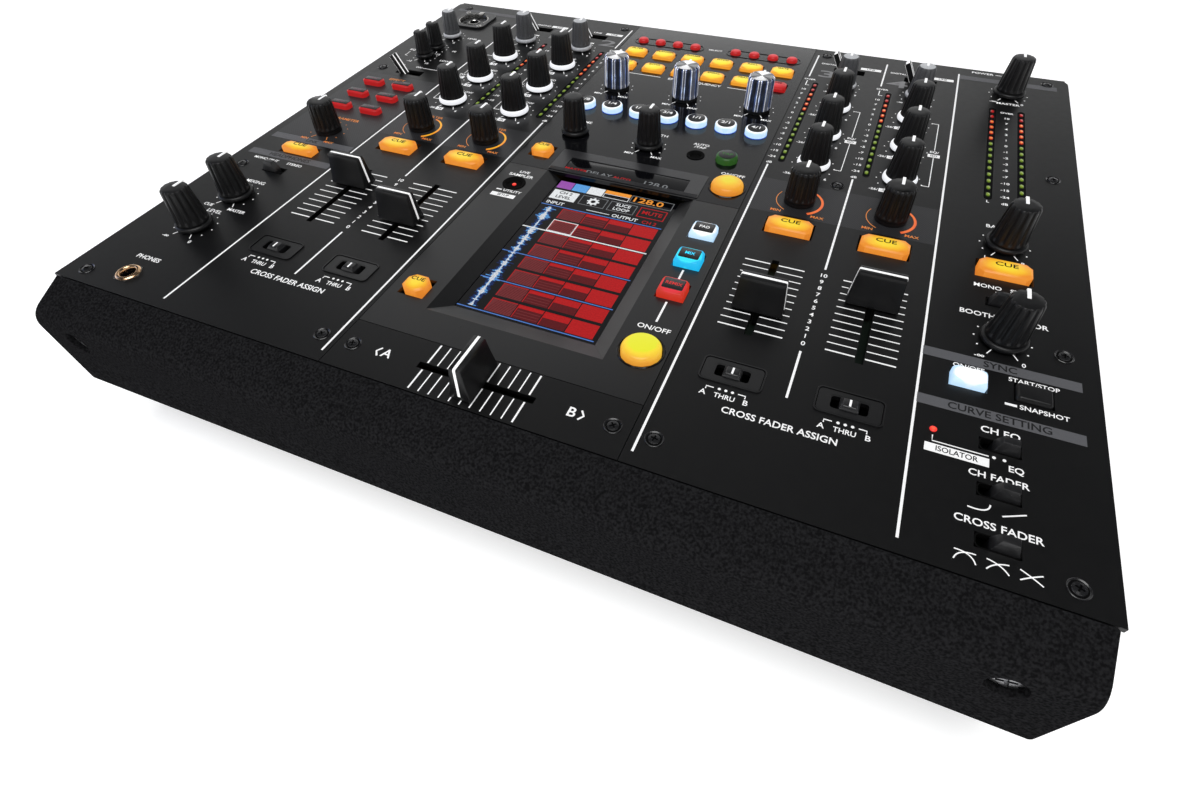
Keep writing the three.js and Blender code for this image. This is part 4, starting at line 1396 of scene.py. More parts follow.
# ---- Keys ----
def corner_outline(width, depth, corner):
    w, d = width / 2, depth / 2
    return [
        (w, -d + corner),
        (w, d - corner),
        (w - corner, d),
        (-w + corner, d),
        (-w, d - corner),
        (-w, -d + corner),
        (-w + corner, -d),
        (w - corner, -d),
    ]


def stacked(layers):
    """Skins outlines with equal numbers of points, given as (outline, z) from the bottom up."""
    bm = bmesh.new()
    rows = [[bm.verts.new((x, y, z)) for x, y in outline] for outline, z in layers]
    for a, b in zip(rows, rows[1:]):
        for i in range(len(a)):
            j = (i + 1) % len(a)
            bm.faces.new((a[i], a[j], b[j], b[i]))
    bm.faces.new(rows[0][::-1])
    bm.faces.new(rows[-1])
    bmesh.ops.recalc_face_normals(bm, faces=bm.faces)
    return bm


KEY_DEEP = -2.4


def cut_key(width, depth, height=3.6, inset=1.7, corner=2.0):
    """A key whose sides slope in to a smaller flat top, with cut corners."""
    layers = (
        (corner_outline(width, depth, corner), KEY_DEEP),
        (corner_outline(width, depth, corner), height - inset * 0.75),
        (corner_outline(width - 0.5, depth - 0.5, corner), height - inset * 0.5),
        (corner_outline(width - inset * 1.7, depth - inset * 1.7, corner * 0.9), height - 0.12),
        (corner_outline(width - inset * 2.1, depth - inset * 2.1, corner * 0.85), height),
    )
    return stacked(layers)


def soft_key(width, depth, height, radius=1.2, inset=1.0):
    """A key with rounded corners whose sides slope in."""
    layers = (
        (rounded_outline(width, depth, radius), KEY_DEEP),
        (rounded_outline(width, depth, radius), height - inset * 1.2),
        (rounded_outline(width - inset, depth - inset, radius * 0.9), height - 0.25),
        (rounded_outline(width - inset * 1.5, depth - inset * 1.5, radius * 0.8), height - 0.04),
        (rounded_outline(width - inset * 2, depth - inset * 2, radius * 0.7), height),
    )
    return stacked(layers)


def round_key(radius, height, inset=1.0):
    layers = (
        (circle(radius, 40), KEY_DEEP),
        (circle(radius, 40), height - inset * 1.3),
        (circle(radius - inset * 0.3, 40), height - inset * 0.6),
        (circle(radius - inset, 40), height - 0.1),
        (circle(radius - inset * 1.4, 40), height),
    )
    return stacked(layers)


def key_insert(width, depth, top, radius=0.8):
    """A dark cover let into a lit key's top."""
    layers = (
        (rounded_outline(width, depth, radius), top - 0.8),
        (rounded_outline(width, depth, radius), top + 0.08),
        (rounded_outline(width - 0.4, depth - 0.4, radius * 0.8), top + 0.2),
    )
    return stacked(layers)


CLEARANCE = 0.9
amber_keys = Piece("cue_keys", amber_key)
key_text = Piece("key_lettering", ink_dark)
CUE_KEYS = [(x, 152.4, 23, 12.6) for x in CHANNELS] + [(STRIP, 153, 23, 12.6), (-STRIP, 129.8, 23, 9.4)]
for x, y, w, d in CUE_KEYS:
    amber_keys.add(cut_key(w - 2 * CLEARANCE, d - 1.6 * CLEARANCE, 2.8, 1.3, 2.4 if d > 10 else 1.7), x, y)
    label(key_text, "CUE", x, y + 1.3, 2.7, z=2.83, squeeze=1.3)
for x, y in ((-51.8, 176.5), (-52, 52.6)):
    amber_keys.add(cut_key(12.8 - 1.8 * CLEARANCE, 12.4 - 2 * CLEARANCE, 2.9, 1.3, 2.6), x, y)
    label(key_text, "CUE", x, y + 2.0, 2.2, z=2.93, squeeze=1.2)
amber_keys.make(ROOT, "amber_lens")

# Effect keys in two rows, the last one of the front row red.
EFFECT_COLUMNS = [-49.75 + 19.9 * i for i in range(6)]
EFFECT_ROWS = (295.6, 316.7)
FRONT_WORDS = ("DELAY", "ECHO", "REVERB", "SPIRAL", "TRANS", "NOISE")
BACK_WORDS = ("FILTER", "FLANGER", "PHASER", "PITCH", "ROLL", "GATE")
EFFECT_WORDS = FRONT_WORDS + BACK_WORDS
effect_keys = Piece("effect_keys", yellow_key)
red_keys = Piece("red_keys", red_key)
key_inserts = Piece("key_inserts", insert_black)
for row, y in enumerate(EFFECT_ROWS):
    for column, x in enumerate(EFFECT_COLUMNS):
        target = red_keys if row == 0 and column == 5 else effect_keys
        target.add(cut_key(15 - 1.5 * CLEARANCE, 11.4 - 1.3 * CLEARANCE, 2.0, 0.9, 1.5), x, y)
        label(key_text, EFFECT_WORDS[row * 6 + column], x, y + 2.6, 1.9, z=2.03, squeeze=1.05)
effect_keys.make(ROOT, "yellow_lens")

# Round select keys, and the instant-effect keys with dark covers.
select_wells = Piece("select_key_wells", panel_satin)
for side in (-1, 1):
    for i in range(4):
        x = side * (14.1 + 12.6 * i)
        red_keys.add(round_key(3.9 - CLEARANCE / 2, 2.0, 0.8), x, 337)
    centre_x = side * (14.1 + 12.6 * 1.5)
    outer = rounded_outline(50, 10.4, 5.1)
    inner = rounded_outline(48.8, 9.2, 4.5)
    select_wells.add(tube_frame(outer, inner, -0.02, 0.3), centre_x, 337)
select_wells.make(ROOT, "gloss_black")
insert_text = Piece("insert_lettering", ink_white, ink_dim, cyan_ink, green_ink, red_ink)
INSTANT_WORDS = ("NOISE", "SWEEP", "ECHO", "CRUSH", "SPACE", "FILTER")
for i, x in enumerate((-193.4, -171.4)):
    for j, y in enumerate((216, 199, 182)):
        red_keys.add(cut_key(15 - CLEARANCE, 7.6 - CLEARANCE, 3.0, 0.9, 1.6), x, y)
        key_inserts.add(key_insert(11.8, 4.3, 3.0, 0.6), x, y + 0.3)
        label(insert_text, INSTANT_WORDS[i * 3 + j], x, y + 0.3, 1.5, 1, 1.0, z=3.22)

# Beat keys.
white_keys = Piece("white_keys", white_key)
blue_rims = Piece("white_key_rims", rim_blue)
BEATS = ("1/8", "1/4", "1/2", "3/4", "1/1", "2/1", "4/1")
for i, beat in enumerate(BEATS):
    x, y = -51.3 + 17.4 * i, 234.4
    white_keys.add(round_key(6.6 - CLEARANCE / 2, 3.6, 0.7), x, y)
    blue_rims.add(lathed([(6.2, -1.9), (6.28, -1.9), (6.28, 0.35), (6.2, 0.35), (6.2, -1.9)], 40), x, y)
    key_inserts.add(lathed([(0, 3.0), (4.95, 3.0), (4.95, 3.7), (4.6, 3.84), (0, 3.84)], 40), x, y + 0.1)
    label(insert_text, beat, x, y + 0.1, 2.7, z=3.87, squeeze=1.25)

# Mode keys.
cyan_keys = Piece("cyan_key", cyan_key)
red_mode_keys = Piece("red_mode_key", red_mode)
MODES = (
    (135.1, white_keys, "PAD", 0, 2.3),
    (112.4, cyan_keys, "MIX", 2, 3.2),
    (90.0, red_mode_keys, "REMIX", 4, 3.2),
)
for y, target, word, ink, top in MODES:
    target.add(soft_key(13 - CLEARANCE, 12 - CLEARANCE, top, 1.6, 1.1), 52.9, y)
    key_inserts.add(key_insert(9.4, 6.9, top), 52.9, y + 0.9)
    label(insert_text, word, 52.9, y + 0.9, 1.9, ink, 1.0, z=top + 0.22)
cyan_keys.make(ROOT, "cyan_lens")
red_mode_keys.make(ROOT, "red_lens")

white_keys.add(soft_key(13.2 - CLEARANCE, 9.6 - CLEARANCE, 2.7, 1.2, 1.2), 170.6, 81.7)
white_keys.make(ROOT, "white_lens")
blue_rims.make(ROOT, "white_lens")
dark_keys = Piece("dark_keys", knob_black)
dark_keys.add(soft_key(13.2 - CLEARANCE, 9.6 - CLEARANCE, 1.6, 1.2, 1.2), 192.6, 81.7)
dark_keys.make(ROOT, "black_plastic")
red_keys.make(ROOT, "red_lens")

# Tap key, its lamp, and the sampler key.
green_keys = Piece("tap_key", green_dark)
green_keys.add(round_key(6.2 - CLEARANCE / 2, 3.2, 0.8), 45.4, 201.8)
green_keys.make(ROOT, "green_lens")
key_inserts.add(lathed([(0, 2.6), (4.6, 2.6), (4.6, 3.25), (4.2, 3.4), (0, 3.4)], 40), 45.4, 201.9)
label(insert_text, "TAP", 45.4, 201.9, 2.2, 3, 1.15, z=3.43)
lamp_dishes = Piece("lamp_dishes", pit_black_and_painted_shade)
for x, y, r in ((28.5, 200.8, 4.0), (-51.3, 141.6, 5.2)):
    dish = [(r - 0.3, -1.8), (r + 0.9, -0.02), (r + 0.9, 0.3), (r + 0.3, 0.45)]
    dish += [(r - 0.5, 0.1), (r - 1.4, -1.1)]
    lamp_dishes.add(lathed(dish + [(r - 1.6, -0.9), (0.0, -0.75), (0.0, -1.8), (r - 0.3, -1.8)], 40), x, y)
lamp_dishes.make(ROOT, "gloss_black")
key_inserts.make(ROOT, "black_plastic")
insert_text.make(ROOT, "white_print")
key_text.make(ROOT, "black_plastic")


# ---- Lit domes ----
def dome(node, finish):
    """A round button with a domed lens."""
    low, high = span_of(node)
    x, y = (low.x + high.x) / 2, (low.y + high.y) / 2
    r, top = (high.y - low.y) / 2, high.z
    lens = Piece(node + "_lens", finish)
    profile = [(0, low.z), (SHAFT_RADIUS, low.z), (SHAFT_RADIUS, -1.4), (r, -1.4), (r, top - 2.8)]
    # The crown is a quarter of a tall ellipse that runs into a shallow cap.
    shoulder = 2.2
    for i in range(1, 9):
        angle = math.pi / 2 * i / 8
        profile.append((r - shoulder + shoulder * math.cos(angle), top - 2.8 + 2.3 * math.sin(angle)))
    profile += [(r * 0.5, top - 0.14), (r * 0.25, top - 0.03), (0, top)]
    lens.add(lathed(profile, 72), x, y)
    lens.make(node, "amber_lens", node)


dome("effect_on_button", dome_amber)
dome("touch_on_button", dome_yellow)
collars = Piece("button_collars", panel_gloss)
for node in ("effect_on_button", "touch_on_button"):
    spot = centre_of(node)
    ring = [(8.9, -0.02), (9.7, -0.02), (9.7, 0.12), (9.45, 0.32), (9.1, 0.32), (8.9, 0.2), (8.9, -0.02)]
    collars.add(lathed(ring, 64), spot.x, spot.y)
collars.make(ROOT, "gloss_black")

# ---- Meters ----
METER_PITCH, METER_COUNT, METER_FIRST = 6.56, 15, 214.3
CHANNEL_METERS = (-115.3, -71.8, 72.6, 116.1)
MASTER_METERS = (173.8, 188.9)
METER_NUMBERS = (-109.5, -66.2, 66.9, 110.6, 181.4)
LEVELS = ("-24", "-15", "-10", "-7", "-5", "-3", "-2", "-1", "0", "1", "2", "4", "7", "10")
meter_slots = Piece("meter_slots", pit_black_and_painted_shade, panel_gloss)
lamps = {
    "green": Piece("meter_lamps_green", led_green),
    "hot": Piece("meter_lamps_orange", led_hot),
    "red": Piece("meter_lamps_red", led_red),
}
SLOT_WIDTH, SLOT_FRONT, SLOT_BACK = 3.3, 210.1, 310.4
for x in CHANNEL_METERS + MASTER_METERS:
    middle, long = (SLOT_FRONT + SLOT_BACK) / 2, SLOT_BACK - SLOT_FRONT
    meter_slots.add(prism(rounded_outline(SLOT_WIDTH, long, 1.6), -0.05, 0.03), x, middle)
    rim = rounded_outline(SLOT_WIDTH + 0.5, long + 0.5, 1.9)
    meter_slots.add(tube_frame(rim, rounded_outline(SLOT_WIDTH, long, 1.6), -0.05, 0.1), x, middle, 0, 1)
    for i in range(METER_COUNT):
        colour = "green" if i < 9 else ("hot" if i < 13 else "red")
        lens = stacked(
            [
                (rounded_outline(1.9, 3.5, 0.9), -0.02),
                (rounded_outline(1.9, 3.5, 0.9), 0.16),
                (rounded_outline(1.5, 3.0, 0.7), 0.3),
            ]
        )
        lamps[colour].add(lens, x, METER_FIRST + METER_PITCH * i)
meter_slots.make(ROOT, "gloss_black")
for colour, piece in lamps.items():
    piece.make(ROOT, {"red": "red_lens", "hot": "amber_lens", "green": "green_lens"}[colour])
for x in METER_NUMBERS:
    for i, word in enumerate(LEVELS):
        label(white_print, word, x, METER_FIRST + METER_PITCH * i, 2.0, squeeze=1.15)
    label(white_print, "dB", x, METER_FIRST - METER_PITCH + 0.2, 2.0)
    over = METER_FIRST + METER_PITCH * 14
    channel_meter = x < 150
    right, back = (1.2, 8.2) if channel_meter else (0, 0.2)
    label(white_print, "OVER", x + right, over + back, 1.8, squeeze=1.1)
    if channel_meter:
        stroke(white_print, [(x, over + 6), (x, over - 0.3), (x + 2.2, over - 0.3)], 0.6)
for x, letter in zip(MASTER_METERS, "LR"):
    label(white_print, letter, x, METER_FIRST - METER_PITCH + 0.2, 2.1)
label(white_print, "MASTER", STRIP, 318.6, 2.4)

lamps_small = Piece("status_lamp", led_bright)
isolator_lamp = [(circle(1.25, 20), -0.05), (circle(1.25, 20), 0.3), (circle(0.8, 20), 0.55)]
lamps_small.add(stacked(isolator_lamp), 160.5, 53)
sampler_lamp = [(circle(1.1, 20), -0.9), (circle(1.1, 20), -0.5), (circle(0.7, 20), -0.3)]
lamps_small.add(stacked(sampler_lamp), -51.3, 141.6)
lamps_small.make(ROOT, "red_lens")

# ---- Touch screen picture ----
SCREEN_TOP = span_of("touch_screen")[1].z
SCREEN_FRONT, SCREEN_SHRINK = 52.5, 0.998
PICTURE = [
    screen_blue,
    screen_white,
    screen_red,
    screen_brown,
    screen_maroon,
    screen_purple,
    screen_orange,
    screen_navy,
    screen_grey,
    screen_sky,
]
BLUE, WHITE, RED, BROWN, MAROON, PURPLE, ORANGE, NAVY, GREY, SKY = range(10)
picture = Piece("screen_picture", *PICTURE)


def screen_y(y):
    return SCREEN_FRONT + (y - SCREEN_FRONT) * SCREEN_SHRINK


def patch(x0, x1, y0, y1, colour, layer=0):
    low, high = SCREEN_TOP - 0.02, SCREEN_TOP + 0.03 + 0.02 * layer
    y0, y1 = screen_y(y0), screen_y(y1)
    picture.add(block(x1 - x0, y1 - y0, low, high), (x0 + x1) / 2, (y0 + y1) / 2, 0, colour)


def outline_box(x0, x1, y0, y1, colour, wide=0.35):
    patch(x0, x1, y0, y0 + wide, colour)
    patch(x0, x1, y1 - wide, y1, colour)
    patch(x0, x0 + wide, y0 + wide, y1 - wide, colour)
    patch(x1 - wide, x1, y0 + wide, y1 - wide, colour)


def screen_text(words, x, y, size, colour, squeeze=1.0):
    label(picture, words, x, screen_y(y), size, colour, squeeze, z=SCREEN_TOP + 0.05)


patch(-32.2, -23.9, 152.1, 158.7, PURPLE)
patch(-23.5, -15.3, 152.1, 158.7, SKY)
patch(-15, -6.5, 152.1, 158.7, WHITE)
patch(-6, 8, 155.8, 158.7, ORANGE)
outline_box(-6, 8, 152.1, 155.6, WHITE)
outline_box(8.6, 31.2, 152.1, 158.7, GREY)
screen_text("128.0", 17.6, 155.4, 4.2, ORANGE, 1.35)
patch(-31.8, -17.7, 142, 150.3, WHITE)
label(grey_print, "CH 2", -24.7, screen_y(148.2), 2.4, BLACK_INK, 1.0, z=SCREEN_TOP + 0.06)
label(grey_print, "LEVEL", -24.7, screen_y(144.4), 2.4, BLACK_INK, 1.0, z=SCREEN_TOP + 0.06)
outline_box(-15.5, -1.5, 142, 150.3, GREY)
gear = tube_frame(circle(2.6, 16), circle(1.3, 16), SCREEN_TOP - 0.02, SCREEN_TOP + 0.04)
picture.add(gear, -8.5, screen_y(146.2), 0, WHITE)
for i in range(8):
    angle = math.pi / 4 * i
    tooth = block(0.9, 0.9, SCREEN_TOP - 0.02, SCREEN_TOP + 0.04)
    spoke = (-8.5 + 2.9 * math.cos(angle), screen_y(146.2) + 2.9 * math.sin(angle))
    picture.add(tooth, *spoke, 0, WHITE, turned("Z", 45 * i))
outline_box(0.2, 14.5, 142, 150.3, GREY)
screen_text("SLICE", 7.4, 148.0, 2.4, WHITE)
screen_text("LOOP", 7.4, 144.4, 2.4, WHITE)
outline_box(16.3, 30.5, 142, 150.3, RED, 0.5)
screen_text("MUTE", 23.4, 146.2, 3.0, RED)
for words, x, colour in (("INPUT", -26.4, WHITE), ("OUTPUT", 11.7, WHITE), ("CH 2", 24.6, RED)):
    screen_text(words, x, 138.4, 2.5, colour)
patch(-8.9, 3.6, 138.2, 138.6, WHITE)
GRID = (136, 125.7, 115.2, 104.8, 94.4, 84.1, 73.7, 63.3, 53)
GRID_LOOK = (BLUE, None, WHITE, None, BLUE, None, BLUE, None, BLUE)
for y, colour in zip(GRID, GRID_LOOK):
    wide = 0.7 if colour == WHITE else 0.5
    if colour is not None:
        patch(-33, 31.8, y - wide / 2, y + wide / 2, colour, 2)
COLUMNS = ((-20.2, -7.7), (-7.2, 5), (5.5, 17.7), (18.2, 30.7))
for row in range(8):
    y1, y0 = GRID[row] - 0.9, GRID[row + 1] + 0.9
    for column, (x0, x1) in enumerate(COLUMNS):
        # Every cell has a bright edge along its back and its left side.
        patch(x0, x1, y1 - 0.5, y1, RED, 1)
        patch(x0, x0 + 0.4, y0, y1 - 0.5, RED, 1)
        if column == 0:
            patch(x0, x1, y0, y1, BROWN)
            for i in range(9):
                start = x0 + 0.6 + i * 1.3
                lean_x = min(start + 2.6, x1 - 0.1)
                share = (lean_x - start) / 2.6
                low_end, high_end = screen_y(y0 + 0.3), screen_y(y0 + 0.3 + (y1 - y0 - 1) * share)
                bm = prism(
                    [(start, low_end), (start + 0.3, low_end), (lean_x + 0.3, high_end), (lean_x, high_end)],
                    SCREEN_TOP,
                    SCREEN_TOP + 0.05,
                )
                picture.add(bm, 0, 0, 0, MAROON)
        elif column == 1:
            patch(x0, x1, y0, y1, MAROON)
            patch(x0, x1, y1 - 2.2, y1, RED, 1)
            for i in range(3):
                y = y0 + 1.1 + 1.7 * i
                patch(x0 + 0.8, x1 - 0.4, y, y + 0.4, BROWN, 1)
        elif column == 2:
            patch(x0, x1, y0, y1, MAROON)
            patch(x0, x1, y0 + (y1 - y0) * 0.55, y1, RED, 1)
        else:
            patch(x0, x1, y0, y1, RED)
# One cell is picked out.
outline_box(-20.6, -7.3, GRID[2] + 0.4, GRID[1] - 0.4, WHITE, 0.9)
WAVE_X, WAVE_STEP = -27, 0.62
steps = int((134.5 - 54.5) / WAVE_STEP)
swing = 0.5
for i in range(steps):
    swing = min(1.0, max(0.12, swing + random.uniform(-0.28, 0.28)))
    y = 54.5 + WAVE_STEP * i
    peak = swing if i % 3 else min(1.0, swing * 1.7)
    for colour, reach_x, layer in ((NAVY, 2.2 + 2.9 * peak, 0), (SKY, 4.7 * peak, 1), (WHITE, 2.4 * peak, 2)):
        left_end = WAVE_X - reach_x * random.uniform(0.45, 1.0)
        right_end = WAVE_X + reach_x * random.uniform(0.45, 1.0)
        patch(left_end, right_end, y, y + WAVE_STEP * (1.0 if layer == 0 else 0.7), colour, layer)
picture.make(ROOT, "display")

# ---- Beat display ----
DISPLAY_X, FRAME_Y, WINDOW_Y = 0.3, 171.6, 169.7
WINDOW_SIZE = (66.8, 11.4)
display_frame = Piece("display_frame", frame_grey)
window = [(x, y + WINDOW_Y - FRAME_Y) for x, y in rounded_outline(*WINDOW_SIZE, 0.3)]
display_frame.add(tube_frame(rounded_outline(82.6, 21.2, 0.6), window, -0.05, 0.35), DISPLAY_X, FRAME_Y)
# Fine ridges along its front.
for i in range(4):
    display_frame.add(block(81.6, 0.34, 0.3, 0.55, 0.1), DISPLAY_X, 161.5 + 0.7 * i)
display_frame.make(ROOT, "black_paint")
display_glass = Piece("display_glass", glass_black)
display_glass.add(block(WINDOW_SIZE[0] - 0.2, WINDOW_SIZE[1] - 0.2, -0.15, 0.12, 0.03), DISPLAY_X, WINDOW_Y)
display_glass.make(ROOT, "gloss_black")
display_text = Piece("display_characters", screen_grey, screen_red)
for words, x, y, size, colour in (
    ("MASTER", -26.5, 164.9, 1.9, 1),
    ("DELAY", -13.4, 165.0, 2.6, 0),
    ("AUTO", -0.2, 164.9, 1.9, 1),
    ("128.0", 17.8, 165.2, 3.4, 0),
):
    label(display_text, words, x, y, size, colour, 1.35, z=0.15)
display_text.make(ROOT, "display")

# ---- Sockets on the top ----
jacks = Piece("top_jacks", nickel, gold, pit_black_and_painted_shade, plastic_black)
PHONES_JACK, MIC_JACK = (-182.2, 12.7), (-186, 331)
phones_ring = [(3.35, -8), (4.4, -8), (5.5, -0.03), (5.5, 0.5)]
phones_ring += [(5.1, 0.9), (4.1, 1.1), (3.7, 0.9), (3.35, 0.3)]
jacks.add(lathed(phones_ring + phones_ring[:1]), *PHONES_JACK, 0, 1)
jacks.add(lathed([(5.5, -0.03), (6.4, -0.03), (6.4, 0.25), (5.5, 0.3), (5.5, -0.03)], 6), *PHONES_JACK, 0, 0)
jacks.add(lathed([(3.0, -9), (3.3, -9), (3.3, -1.2), (3.0, -1.2), (3.0, -9)], 32), *PHONES_JACK, 0, 2)
# Combined three-pin and plug socket for the microphone.
mic_flange = tube_frame(rounded_outline(27.6, 27.6, 5.5, 8), circle(11.2, 36), -0.03, 1.3)
jacks.add(mic_flange, *MIC_JACK, 0, 3)
mouth = [(11.25, -7), (11.25, 1.2), (10.7, 1.45), (10.3, 1.2), (10.3, -7), (11.25, -7)]
jacks.add(lathed(mouth, 56), *MIC_JACK, 0, 0)
mic_floor = [(3.3, -9), (9.9, -9), (9.9, -1.3), (9.4, -0.8), (4.0, -0.8), (3.3, -1.3), (3.3, -9)]
jacks.add(lathed(mic_floor), *MIC_JACK, 0, 3)
plug_rim = [(3.35, -7), (4.2, -0.79), (4.2, -0.55), (3.6, -0.4), (3.3, -0.7), (3.35, -7)]
jacks.add(lathed(plug_rim, 40), *MIC_JACK, 0, 0)
# The three pin holes are flat dark discs: painted shade where holes would be.
for angle in (90, 210, 330):
    across, along = 6.7 * math.cos(math.radians(angle)), 6.7 * math.sin(math.radians(angle))
    jacks.add(prism(circle(1.4, 18), -1, -0.72), MIC_JACK[0] + across, MIC_JACK[1] + along, 0, 2)
jacks.add(block(3.4, 4.6, -0.9, 1.7, 0.3), MIC_JACK[0], MIC_JACK[1] + 12.0, 0, 0)
for side in (-1, 1):
    jacks.add(cross_screw(1.9, 1.9, 0.8), MIC_JACK[0] + side * 10.6, MIC_JACK[1] - side * 10.6, 0, 0)
jacks.make(ROOT, "plated_metal")

# ---- Rear ----
BACK = turned("X", -90) @ turned("Z", 180)
REAR_Y = 377
rear = Piece("rear_fittings", nickel, plastic_black, pit_black_and_painted_shade, gold, plug_red, plug_white, screw_black)
NICKEL, PLASTIC, PIT, GOLD, PLUG_RED, PLUG_WHITE, DARK_SCREW = range(7)


def behind(shape, x, z, finish):
    """Places a shape on the rear face. Its own z axis points back."""
    rear.add(shape, x, REAR_Y, z, finish, BACK)


for x in (122, 92):
    behind(tube_frame(rounded_outline(26.4, 31.4, 4, 8), circle(9.4, 36), -0.03, 1.6), x, -50, PLASTIC)
    socket_mouth = [(9.45, -9), (9.45, 1.5), (9.0, 1.9), (8.6, 1.5), (8.6, -9), (9.45, -9)]
    behind(lathed(socket_mouth), x, -50, NICKEL)
    for angle in (90, 210, 330):
        pin = (x + 4.3 * math.cos(math.radians(angle)), -50 + 4.3 * math.sin(math.radians(angle)))
        behind(lathed([(0, -10), (1.1, -10), (1.1, -2.6), (0.7, -2.1), (0, -2.0)], 18), *pin, GOLD)
    for side in (-1, 1):
        behind(cross_screw(2.0, 2.2, 0.8), x + side * 9.9, -50 + side * 12.2, DARK_SCREW)
plug_socket = [(3.35, -8), (5.2, -0.03), (5.2, 2.0), (4.7, 2.4), (3.7, 2.4), (3.35, 2.0), (3.35, -8)]
for x in (66, -196):
    for z in (-38, -62):
        behind(lathed(plug_socket, 40), x, z, NICKEL)
        behind(lathed([(5.2, -0.03), (7.0, -0.03), (7.0, 1.5), (5.2, 1.7), (5.2, -0.03)], 6), x, z, NICKEL)
PHONO_COLUMNS = (-136, -116, -84, -64, -32, -12, 20, 40)
collar_ring = [(4.6, 0.6), (6.6, 0.6), (6.6, 2.0), (6.2, 2.4), (4.6, 2.4), (4.6, 0.6)]
sleeve = [(4.25, 0.6), (4.6, 0.6), (4.6, 11.9), (4.35, 12.2), (1.9, 12.2), (1.75, 12.0), (4.15, 11.9)]
for x in PHONO_COLUMNS:
    behind(block(17.2, 44, -0.03, 0.7, 0.25), x, -50, PLASTIC)
    for z, ring_finish in ((-38, PLUG_WHITE), (-62, PLUG_RED)):
        behind(lathed(collar_ring, 40), x, z, ring_finish)
        behind(lathed(sleeve + sleeve[:1], 40), x, z, NICKEL)
        # A flat dark disc in the sleeve's mouth is painted shade for the pin's hole.
        behind(prism(circle(1.8, 20), 11.6, 12.08), x, z, PIT)
# Mains inlet and its switch, and the network and stick ports.
inlet_frame = tube_frame(rounded_outline(33, 26, 3), rounded_outline(26.6, 19.6, 2.2), -0.03, 1.5)
behind(inlet_frame, 188, -52, PLASTIC)
for x, z in ((-7, -1.5), (0, 2.5), (7, -1.5)):
    behind(block(2.2, 5.6, -15.5, -3, 0.3), 188 + x, -52 + z, NICKEL)
for z in (-38, -62):
    port_frame = tube_frame(rounded_outline(16, 13, 0.8), rounded_outline(12.2, 9.2, 0.5), -0.03, 0.9)
    behind(port_frame, -166, z, NICKEL)
    for i in range(8):
        behind(block(0.5, 5.0, -12, -11.2), -166 - 3.9 + 1.1 * i, z + 1.2, GOLD)
behind(block(22, 12, -0.03, 1.2, 0.4), 188, -24, PLASTIC)
behind(block(16, 8, 1.0, 3.4, 0.5, 0.86), 188, -24, DARK_SCREW)
for x in (-203, -150, -100, -48, 4, 54, 106, 160, 206):
    behind(cross_screw(2.3, 0.9, 0.9), x, -20, DARK_SCREW)
for x in (-203, -150, -100, -48, 4, 54, 106, 150, 206):
    behind(cross_screw(2.3, 0.9, 0.9), x, -78, DARK_SCREW)
rear.make(ROOT, "plated_metal")

rear_words = Piece("rear_lettering", ink_white)
for words, x, z, size in (
    ("MASTER", 107, -31.5, 3.0),
    ("BOOTH", 66, -28.5, 2.6),
    ("CH 1", 30, -25.5, 3.0),
    ("CH 2", -22, -25.5, 3.0),
    ("CH 3", -74, -25.5, 3.0),
    ("CH 4", -126, -25.5, 3.0),
    ("LINK", -166, -28.5, 2.6),
    ("SEND", -196, -28.5, 2.6),
    ("RETURN", -196, -71.5, 2.6),
    ("AC IN", 188, -69.5, 2.8),
):
    rear_words.add(lettering(words, size, squeeze=1.05), x, REAR_Y + 0.03, z, 0, BACK)
rear_words.make(ROOT, "white_print")

# ---- Feet ----
feet = Piece("feet", rubber, screw_black)
FOOT_PLACES = [(side * 180, y) for side in (-1, 1) for y in (28, 342)]
for x, y in FOOT_PLACES:
    tread = [(3.4, -86.0), (3.4, -86.9), (9.6, -86.9), (10.6, -86.2)]
    tread += [(11.4, -82.2), (11.1, -81.7), (3.4, -81.7)]
    feet.add(lathed(tread + tread[:1]), x, y)
    feet.add(moved(cross_screw(3.2, 0, 1.0), 0, 0, 0, turned("X", 180)), x, y, -86.8, 1)
feet.make(ROOT, "rubber_foot")

# ---- Screws under and on the sides ----
side_screws = Piece("case_screws", screw_black)
for side in (-1, 1):
    for y in (60, 190, 320):
        sideways = turned("Y", 90 * side)
        side_screws.add(cross_screw(3.0, 0.8, 0.9), side * (TRAY_HALF - 0.02), y, -44, 0, sideways)
for x in (-150, 0, 150):
    for y in (60, 300):
        screw = moved(cross_screw(2.6, 0.8, 0.9), 0, 0, 0, turned("X", 180))
        side_screws.add(screw, x, y, TRAY_BOTTOM + 0.02)
side_screws.make(ROOT, "black_plastic")

white_print.make(ROOT, "white_print")
grey_print.make(ROOT, "grey_print")
orange_print.make(ROOT, "orange_print")

# ---- Floor and lights ----
FLAT_REACH, WALL_REACH, WALL_HEIGHT, AROUND = 5.6, 7.2, 2.7, 96
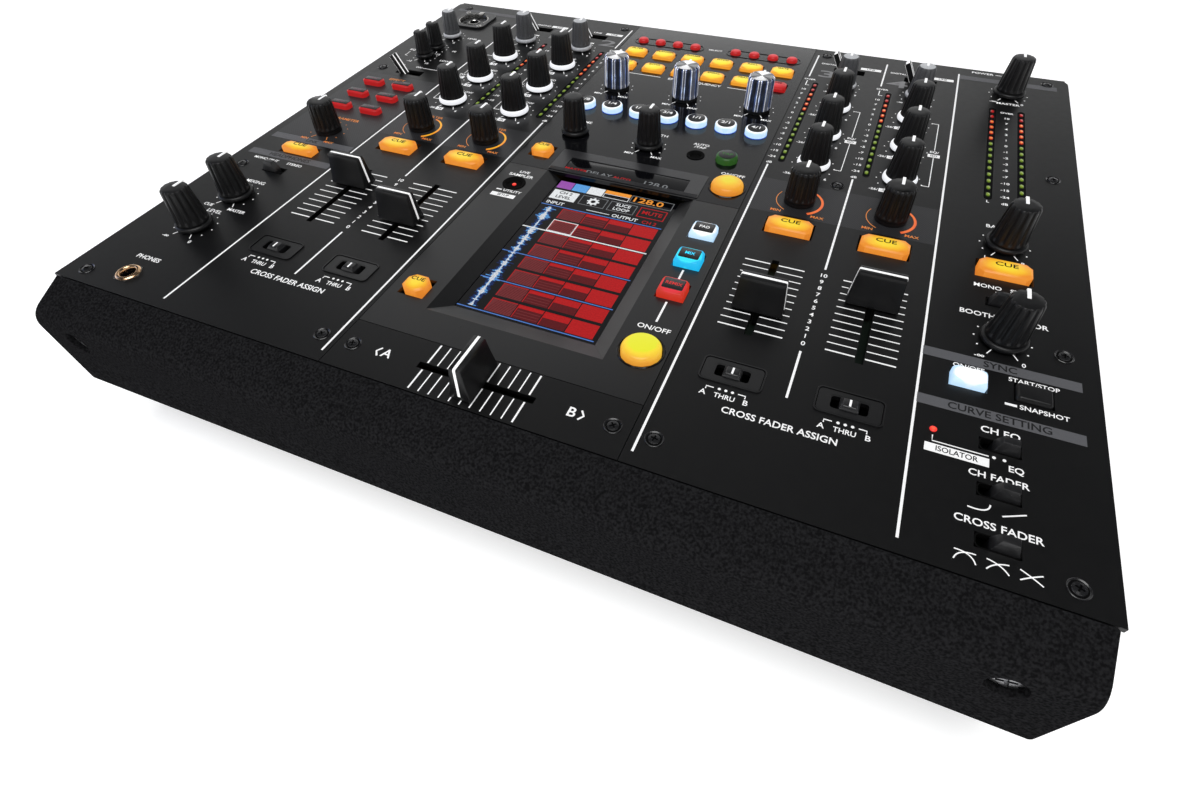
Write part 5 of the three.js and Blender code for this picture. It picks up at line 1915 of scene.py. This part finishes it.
# The floor is flat, then it sweeps up all round as a studio cove does.
cove = [(0.0, 0.0), (FLAT_REACH, 0.0)]
for i in range(1, 13):
    angle = math.pi / 2 * i / 12
    sweep = WALL_REACH - FLAT_REACH
    cove.append((FLAT_REACH + sweep * math.sin(angle), WALL_HEIGHT * (1 - math.cos(angle))))
floor_bm = bmesh.new()
centre_point = floor_bm.verts.new((0, 0, 0))
rows = []
for distance, height in cove[1:]:
    turns = [2 * math.pi * i / AROUND for i in range(AROUND)]
    rows.append([floor_bm.verts.new((distance * math.cos(a), distance * math.sin(a), height)) for a in turns])
for i in range(AROUND):
    j = (i + 1) % AROUND
    floor_bm.faces.new((centre_point, rows[0][i], rows[0][j]))
    for near, far in zip(rows, rows[1:]):
        floor_bm.faces.new((near[i], far[i], far[j], near[j]))
for face in floor_bm.faces:
    face.smooth = True
floor_mesh = bpy.data.meshes.new("floor")
floor_bm.to_mesh(floor_mesh)
floor_bm.free()
floor = bpy.data.objects.new("floor", floor_mesh)
floor.location.z = -0.0006
bpy.context.scene.collection.objects.link(floor)
floor_white = material("floor_white", (0.85, 0.85, 0.85), 0.7, specular=0.2)
floor_shader = floor_white.node_tree.nodes["Principled BSDF"]
floor_shader.inputs["Emission Color"].default_value = (1, 1, 1, 1)
floor_shader.inputs["Emission Strength"].default_value = 0.55
floor_mesh.materials.append(floor_white)

world = bpy.data.worlds.new("world")
world.use_nodes = True
world.node_tree.nodes["Background"].inputs["Color"].default_value = (0.9, 0.95, 1, 1)
world.node_tree.nodes["Background"].inputs["Strength"].default_value = 0.05
bpy.context.scene.world = world


def area_light(name, azimuth, elevation, distance, size, power, colour=(1, 1, 1)):
    """A soft box facing the object. azimuth is in degrees from straight back towards the left."""
    data = bpy.data.lights.new(name, "AREA")
    data.shape = "RECTANGLE"
    data.size, data.size_y = size
    data.energy = power
    data.color = colour
    lamp = bpy.data.objects.new(name, data)
    around, up = math.radians(azimuth), math.radians(elevation)
    flat = distance * math.cos(up)
    lamp.location = (-flat * math.sin(around), flat * math.cos(around), distance * math.sin(up) + 0.08)
    toward = Vector((0, 0, 0.08)) - lamp.location
    lamp.rotation_euler = toward.to_track_quat("-Z", "Y").to_euler()
    bpy.context.scene.collection.objects.link(lamp)


area_light("top_light", 190, 70, 2.4, (1.8, 1.4), 40)
area_light("back_light", 23, 34, 2.4, (2.7, 1.6), 8.2)
area_light("left_card", 100, 20, 1.6, (0.25, 0.7), 1.1, (0.35, 0.5, 1.0))
